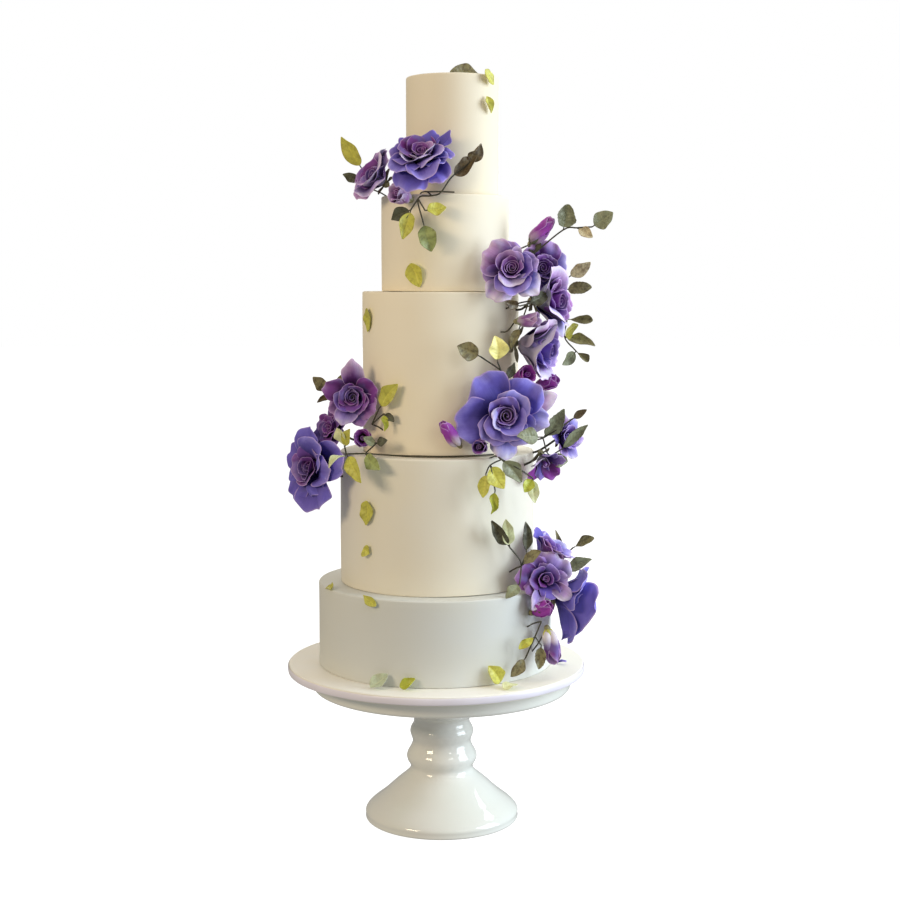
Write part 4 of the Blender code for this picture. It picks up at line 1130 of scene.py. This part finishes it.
class CAKE_OT_board(bpy.types.Operator):
    """Makes the covered cake board and its satin ribbon"""

    bl_idname = "cake.board"
    bl_label = "Board and ribbon"

    def execute(self, context):
        radius, middle, low, high = disc("board")
        side = radius - 0.5 * MM
        recess = radius - 2.5 * MM  # where the ribbon is wound
        edge = 1.2 * MM
        outline = [(0, low), (recess, low), (recess, low + 0.9 * MM), (side, low + 1.3 * MM)]
        outline += arc((side - edge, high - edge), (edge, edge), 0, 90, 5)
        outline += [(radius - 30 * MM, high), (0, high)]
        board = turned("board_icing", outline, 160, middle)
        smooth(board, 50)
        cream = tuple(context.scene.cake.cream)
        pale = tuple(c * 0.35 + 0.65 * w for c, w in zip(cream, BOARD_WHITE))
        dress(board, icing_material("board_icing", pale), "board_icing", "board")

        radius, _, low, high = disc("board_ribbon")
        bulge = 0.9 * MM
        inside = radius - 1.0 * MM
        foot, top = low + 1.3 * MM, high - 1.3 * MM
        band = arc((radius - bulge, (foot + top) / 2), (bulge, (top - foot) / 2), -80, 80, 12)
        band += [(inside, top - 0.5 * MM), (inside, foot + 0.5 * MM)]
        ribbon = turned("ribbon", [*band, band[0]], 160, middle)
        wavy(ribbon, 0.35 * MM, 30 * MM, 4.0)
        smooth(ribbon, 60)
        satin = ribbon_material(tuple(context.scene.cake_stand.ribbon))
        dress(ribbon, satin, "ribbon_satin", "board_ribbon")
        return {"FINISHED"}


class CAKE_OT_tiers(bpy.types.Operator):
    """Turns the iced tiers"""

    bl_idname = "cake.tiers"
    bl_label = "Tiers"

    def execute(self, context):
        settings = context.scene.cake
        for number in range(1, TIERS + 1):
            radius, middle, low, high = disc(f"tier_{number}")
            edge = settings.edge
            foot = 0.9 * MM
            rows = 12
            outline = [(0, low + 0.2 * MM)]
            outline += arc((radius - foot, low + foot), (foot, foot), -90, 0, 3)
            wall = high - edge - low - foot
            outline += [(radius, low + foot + wall * i / rows) for i in range(1, rows)]
            outline += arc((radius - edge, high - edge), (edge, edge), 0, 90, 6)
            outline += [(radius * k, high) for k in (0.85, 0.6, 0.3, 0)]
            tier = turned(f"iced_tier_{number}", outline, 128, middle)
            wavy(tier, 0.5 * MM, 70 * MM, number * 3.1)
            smooth(tier, 50)
            slot = "icing_grey" if number == 1 else "icing_cream"
            color = settings.grey if number == 1 else settings.cream
            # Painted light: tiers 2 and 5 get their icing colour changed for how light falls on them.
            color = tuple(c * k for c, k in zip(color, TIER_PAINTED_LIGHT.get(number, (1, 1, 1))))
            dress(tier, icing_material(f"{slot}_{number}", color), slot, f"tier_{number}")
        return {"FINISHED"}


def chance_of(tint, pale, rng):
    """A petal's dye: its tint, how pale it is, and a number of its own."""
    return (min(max(tint + rng.uniform(-0.08, 0.08), -0.5), 2), min(max(pale, 0), 1), rng.random())


def hip(height, width, length):
    """The green swelling behind a flower, in its radii."""
    made = turned("hip", arc((0, height), (width, length), -90, 90, 6), 12)
    paint(made, "dye", (*LEAF_DYES["olive"][0], 0.0))
    paint(made, "grain", (0.6, 0, 0.5, 1))
    return made


def flower(name, sheets, greens, solids, matrix, context):
    """Joins a flower's petals and green parts, in its place."""
    petals = joined(name, sheets)
    petals.data.materials.append(bpy.data.materials["sugar_petal"])
    green = joined("green", greens)
    green.data.materials.append(bpy.data.materials["sugar_leaf"])
    made = joined(name, [petals, green])
    to_place(made, matrix)
    thicken(made, context.scene.cake_flowers.petal_thickness)
    for solid in solids:
        solid.data.materials.append(bpy.data.materials["sugar_leaf"])
    made = joined(name, [made, *solids])
    smooth(made, 70)
    return made


def stem(number, place, back, radius):
    """A wire from a flower's back to its tier's wall."""
    azimuth, out, up = place
    wall = spot(number, (azimuth, -1, up - 0.35 * out))
    middle = (back + wall) / 2 + Vector((0, 0, -0.12 * out * MM))
    return tube([back, middle, wall], radius, LEAF_DYES["wire"][0])


class CAKE_OT_roses(bpy.types.Operator):
    """Models each sugar rose petal by petal"""

    bl_idname = "cake.roses"
    bl_label = "Roses"

    def execute(self, context):
        wire = context.scene.cake_leaves.wire_radius
        petal_material(context.scene.cake_flowers)
        plant_material()
        for index, (name, spec) in enumerate(ROSES.items()):
            number, place, facing, radius, core, rows, own = spec
            rng = random.Random(name)
            matrix = facing_frame(spot(number, place), facing) @ Matrix.Scale(radius * MM, 4)
            spin = core[0]
            sheets = [heart(*core[:4], chance_of(*core[4:], rng), rng)]
            for row, first, tint, pale in rows:
                count, *shape, overlap = ROWS[row]
                for i in range(count):
                    grow = rng.uniform(0.93, 1.07)
                    tilt = shape[2] + rng.uniform(-5, 5)
                    form = petal_form(shape[0] * grow, shape[1], tilt, *shape[3:], overlap * spin)
                    turn = first + 360 * i / count + rng.uniform(-9, 9)
                    sheets.append(petal(form, turn, chance_of(tint, pale, rng), rng))
            for turn, *shape, tint, pale in own:
                overlap = OVERLAP * spin * (1 - shape[2] / 90)
                form = petal_form(*shape, overlap)
                sheets.append(petal(form, turn, chance_of(tint, pale, rng), rng))
            greens = sepals(SEPALS, 0.75, 0.3, CALYX, 70, LEAF_DYES["olive"][0], rng)
            back = matrix @ Vector((0, 0, CALYX - 0.09))
            solids = [hip(CALYX, 0.17, 0.18), stem(number, place, back, wire * ROSE_STEM)]
            to_place(solids[0], matrix)
            made = flower(f"sugar_{name}", sheets, greens, solids, matrix, context)
            stand_for(made, "petal_purple" if index % 2 else "petal_blue", name)
        return {"FINISHED"}


class CAKE_OT_buds(bpy.types.Operator):
    """Models the rosebuds in their calyces"""

    bl_idname = "cake.buds"
    bl_label = "Buds"

    def execute(self, context):
        wire = context.scene.cake_leaves.wire_radius
        for name, spec in BUDS.items():
            number, place, facing, radius, length, count, opens, tint, pale, white, kind, calyx = spec
            rng = random.Random(name)
            matrix = facing_frame(spot(number, place), facing) @ Matrix.Scale(radius * MM, 4)
            foot = -length / 2
            core = chance_of(tint, pale * 0.5, rng)
            sheets = [heart(1, 1.8, 0.34, length * 0.4, core, rng)]
            for i in range(count):
                form = (length + 0.4, 2.5, 70, 4, opens - 15, opens, 98, 0.25, 0.05, foot, 0.16, white)
                turn = 360 * i / count + rng.uniform(-15, 15)
                sheets.append(petal(form, turn, chance_of(tint, pale, rng), rng))
            color = LEAF_DYES[kind][0]
            greens = []
            for i in range(SEPALS):
                hug = rng.uniform(-2, 12)
                form = (calyx + 0.5, 0.85, 78, 6, hug, 30, 45, 1.0, 0.1, foot - 0.06, 0.0, 0.0)
                turn = 360 / SEPALS * i + rng.uniform(-12, 12)
                greens.append(petal(form, turn, color, rng, (5, 9)))
                paint(greens[-1], "grain", (LEAF_DYES[kind][1], 1, rng.random(), 1))
            back = matrix @ Vector((0, 0, foot - 0.3))
            solids = [hip(foot - 0.1, 0.34, 0.4), stem(number, place, back, wire)]
            to_place(solids[0], matrix)
            made = flower(f"sugar_{name}", sheets, greens, solids, matrix, context)
            stand_for(made, "petal_purple", name)
        return {"FINISHED"}


def foliage(name, blades, wires, slot, context):
    """Joins leaves and wires into one piece that stands for the CAD node of that name."""
    made = joined(f"sugar_{name}", blades)
    thicken(made, context.scene.cake_leaves.leaf_thickness)
    made = joined(f"sugar_{name}", [made, *wires])
    smooth(made, 70)
    dress(made, bpy.data.materials["sugar_leaf"], slot, name)


class CAKE_OT_sprigs(bpy.types.Operator):
    """Bends the wires and puts their leaves on them"""

    bl_idname = "cake.sprigs"
    bl_label = "Sprigs"

    def execute(self, context):
        radius = context.scene.cake_leaves.wire_radius
        color = LEAF_DYES["wire"][0]
        for name, (number, slot, wires, root, leaves) in SPRIGS.items():
            rng = random.Random(name)
            wires = [[spot(number, place) for place in wire] for wire in wires]
            tubes = [tube(points, radius, color) for points in wires]
            if root:
                tubes.append(tube([spot(number, place) for place in root], radius, color))
            blades = []
            for kind, (wire, point), tip, width, face, *form in leaves:
                base = wires[wire][point]
                end = spot(number, tip)
                start = base.lerp(end, STALK)
                tubes.append(tube([base, start], radius * 0.8, color))
                width *= MM * LEAF_WIDTH
                turn, tilt = rng.uniform(-LEAF_STRAY, LEAF_STRAY), rng.uniform(-LEAF_STRAY, LEAF_STRAY)
                look = aim(face + turn, LEAF_TILT + tilt)
                blades.append(leaf(start, end, width, look, kind, rng, **dict(*form)))
            foliage(name, blades, tubes, slot, context)
        return {"FINISHED"}


class CAKE_OT_loose_leaves(bpy.types.Operator):
    """Lays the loose leaves on the tiers and the board"""

    bl_idname = "cake.loose_leaves"
    bl_label = "Loose leaves"

    def execute(self, context):
        for name, kind, number, base, tip, width, face, *form in LOOSE_LEAVES:
            rng = random.Random(name)
            start, end = (spot(number, (a, out + LEAF_PROUD, up)) for a, out, up in (base, tip))
            blade = leaf(start, end, width * MM * LEAF_WIDTH, aim(*face), kind, rng, **dict(*form))
            slot = {"leaf_on_top": "leaf_green", "leaf_board_left": "leaf_sage"}.get(name, "leaf_lime")
            foliage(name, [blade], [], slot, context)
        rng = random.Random("fallen")
        sheets = []
        for base, tip in FALLEN_PETALS:
            form = (1.0, 0.75, 80, 84, 88, 12, 40, 0.3, 0.0, 0.12, 0.0, 0.0)
            sheet = petal(form, 0, (0.1, 0.5, rng.random()), rng, (7, 7))
            start, end = spot(1, base), spot(1, tip)
            right = end - start
            axes = Matrix((right, (-right.y, right.x, 0), (0, 0, right.length))).transposed()
            to_place(sheet, Matrix.Translation(start) @ axes.to_4x4())
            sheets.append(sheet)
        made = joined("sugar_fallen_petals", sheets)
        made.data.materials.append(bpy.data.materials["sugar_petal"])
        thicken(made, context.scene.cake_flowers.petal_thickness)
        smooth(made, 70)
        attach(made, "root")
        return {"FINISHED"}


# Each lamp: name, azimuth, elevation, distance, width, height, watts and colour.
LAMPS = (
    ("window", 78, 12, 1.9, 1.1, 1.5, 44, (0.78, 0.89, 1.0)),
    ("lamp", -46, 18, 1.8, 0.62, 0.34, 11.5, (1.0, 0.81, 0.56)),
    ("glint", 34, 24, 1.9, 0.4, 0.24, 2.0, (1.0, 1.0, 1.0)),
    ("skylight", 112, 46, 1.9, 0.34, 0.85, 6.5, (0.92, 0.96, 1.0)),
    ("ceiling", 0, 88, 1.9, 1.5, 1.5, 9, (1.0, 0.97, 0.92)),
    ("fill", 180, 14, 1.9, 1.2, 1.2, 6, (1.0, 0.97, 0.93)),
)
LAMPS_AIM = (0, 0, 0.42)  # the point that they all face
CAMERA_PLACE = (0.0091, -1.7271, 0.5914)
CAMERA_TILT = 83.88  # degrees up from straight down
CAMERA_LENS = 64.24  # mm, on a sensor 36 mm wide


class CAKE_OT_stage(bpy.types.Operator):
    """Sets the floor, the lights and the camera"""

    bl_idname = "cake.stage"
    bl_label = "Stage"

    def execute(self, context):
        scene = context.scene
        deselect()
        bpy.ops.mesh.primitive_plane_add(size=24)
        floor = context.active_object
        floor.name = "floor"
        nodes = Nodes("floor")
        pale = {"Emission Color": (1, 1, 1, 1), "Emission Strength": 0.985, "Specular IOR Level": 0.2}
        floor.data.materials.append(nodes.finish((0.30, 0.30, 0.30, 1), 0.9, pale))
        floor.visible_diffuse = False
        floor.visible_glossy = False

        world = bpy.data.worlds.new("studio")
        scene.world = world
        world.use_nodes = True
        tree = world.node_tree
        air = tree.nodes["Background"]
        air.inputs["Color"].default_value = (0.95, 0.93, 0.88, 1)
        air.inputs["Strength"].default_value = 0.36
        wall = tree.nodes.new("ShaderNodeBackground")
        wall.inputs["Color"].default_value = (1, 1, 1, 1)
        seen = tree.nodes.new("ShaderNodeLightPath")
        both = tree.nodes.new("ShaderNodeMixShader")
        tree.links.new(seen.outputs["Is Camera Ray"], both.inputs[0])
        tree.links.new(air.outputs[0], both.inputs[1])
        tree.links.new(wall.outputs[0], both.inputs[2])
        tree.links.new(both.outputs[0], tree.nodes["World Output"].inputs["Surface"])

        for name, azimuth, elevation, distance, width, height, watts, color in LAMPS:
            data = bpy.data.lights.new(name, "AREA")
            data.shape = "RECTANGLE"
            data.size = width
            data.size_y = height
            data.energy = watts
            data.color = color
            lamp = bpy.data.objects.new(name, data)
            scene.collection.objects.link(lamp)
            away = aim(azimuth, elevation)
            lamp.location = Vector(LAMPS_AIM) + away * distance
            lamp.rotation_euler = away.to_track_quat("Z", "Y").to_euler()

        data = bpy.data.cameras.new("camera")
        data.sensor_width = 36
        data.lens = CAMERA_LENS
        camera = bpy.data.objects.new("camera", data)
        scene.collection.objects.link(camera)
        camera.location = CAMERA_PLACE
        camera.rotation_euler = (math.radians(CAMERA_TILT), 0, 0)
        scene.camera = camera
        scene.view_settings.view_transform = "Standard"
        return {"FINISHED"}


class CAKE_PT_panel(bpy.types.Panel):
    """Lists the cake's settings and the steps that build it"""

    bl_idname = "CAKE_PT_panel"
    bl_label = "Wedding Cake"
    bl_space_type = "VIEW_3D"
    bl_region_type = "UI"
    bl_category = "Cake"

    def draw(self, context):
        for name, group in GROUPS:
            for key in group.__annotations__:
                self.layout.prop(getattr(context.scene, name), key)
        for step in STEPS:
            self.layout.operator(step.bl_idname)


GROUPS = (
    ("cake", CakeSettings),
    ("cake_stand", StandSettings),
    ("cake_flowers", FlowerSettings),
    ("cake_leaves", LeafSettings),
)
STEPS = (
    CAKE_OT_stage,
    CAKE_OT_stand,
    CAKE_OT_board,
    CAKE_OT_tiers,
    CAKE_OT_roses,
    CAKE_OT_buds,
    CAKE_OT_sprigs,
    CAKE_OT_loose_leaves,
)


def register():
    noise.seed_set(NOISE_SEED)
    for name, group in GROUPS:
        bpy.utils.register_class(group)
        setattr(bpy.types.Scene, name, bpy.props.PointerProperty(type=group))
    for cls in (*STEPS, CAKE_PT_panel):
        bpy.utils.register_class(cls)


def unregister():
    for cls in (CAKE_PT_panel, *reversed(STEPS)):
        bpy.utils.unregister_class(cls)
    for name, group in reversed(GROUPS):
        delattr(bpy.types.Scene, name)
        bpy.utils.unregister_class(group)


def main():
    register()
    for step in STEPS:
        group, name = step.bl_idname.split(".")
        getattr(getattr(bpy.ops, group), name)()


if __name__ == "__main__":
    main()
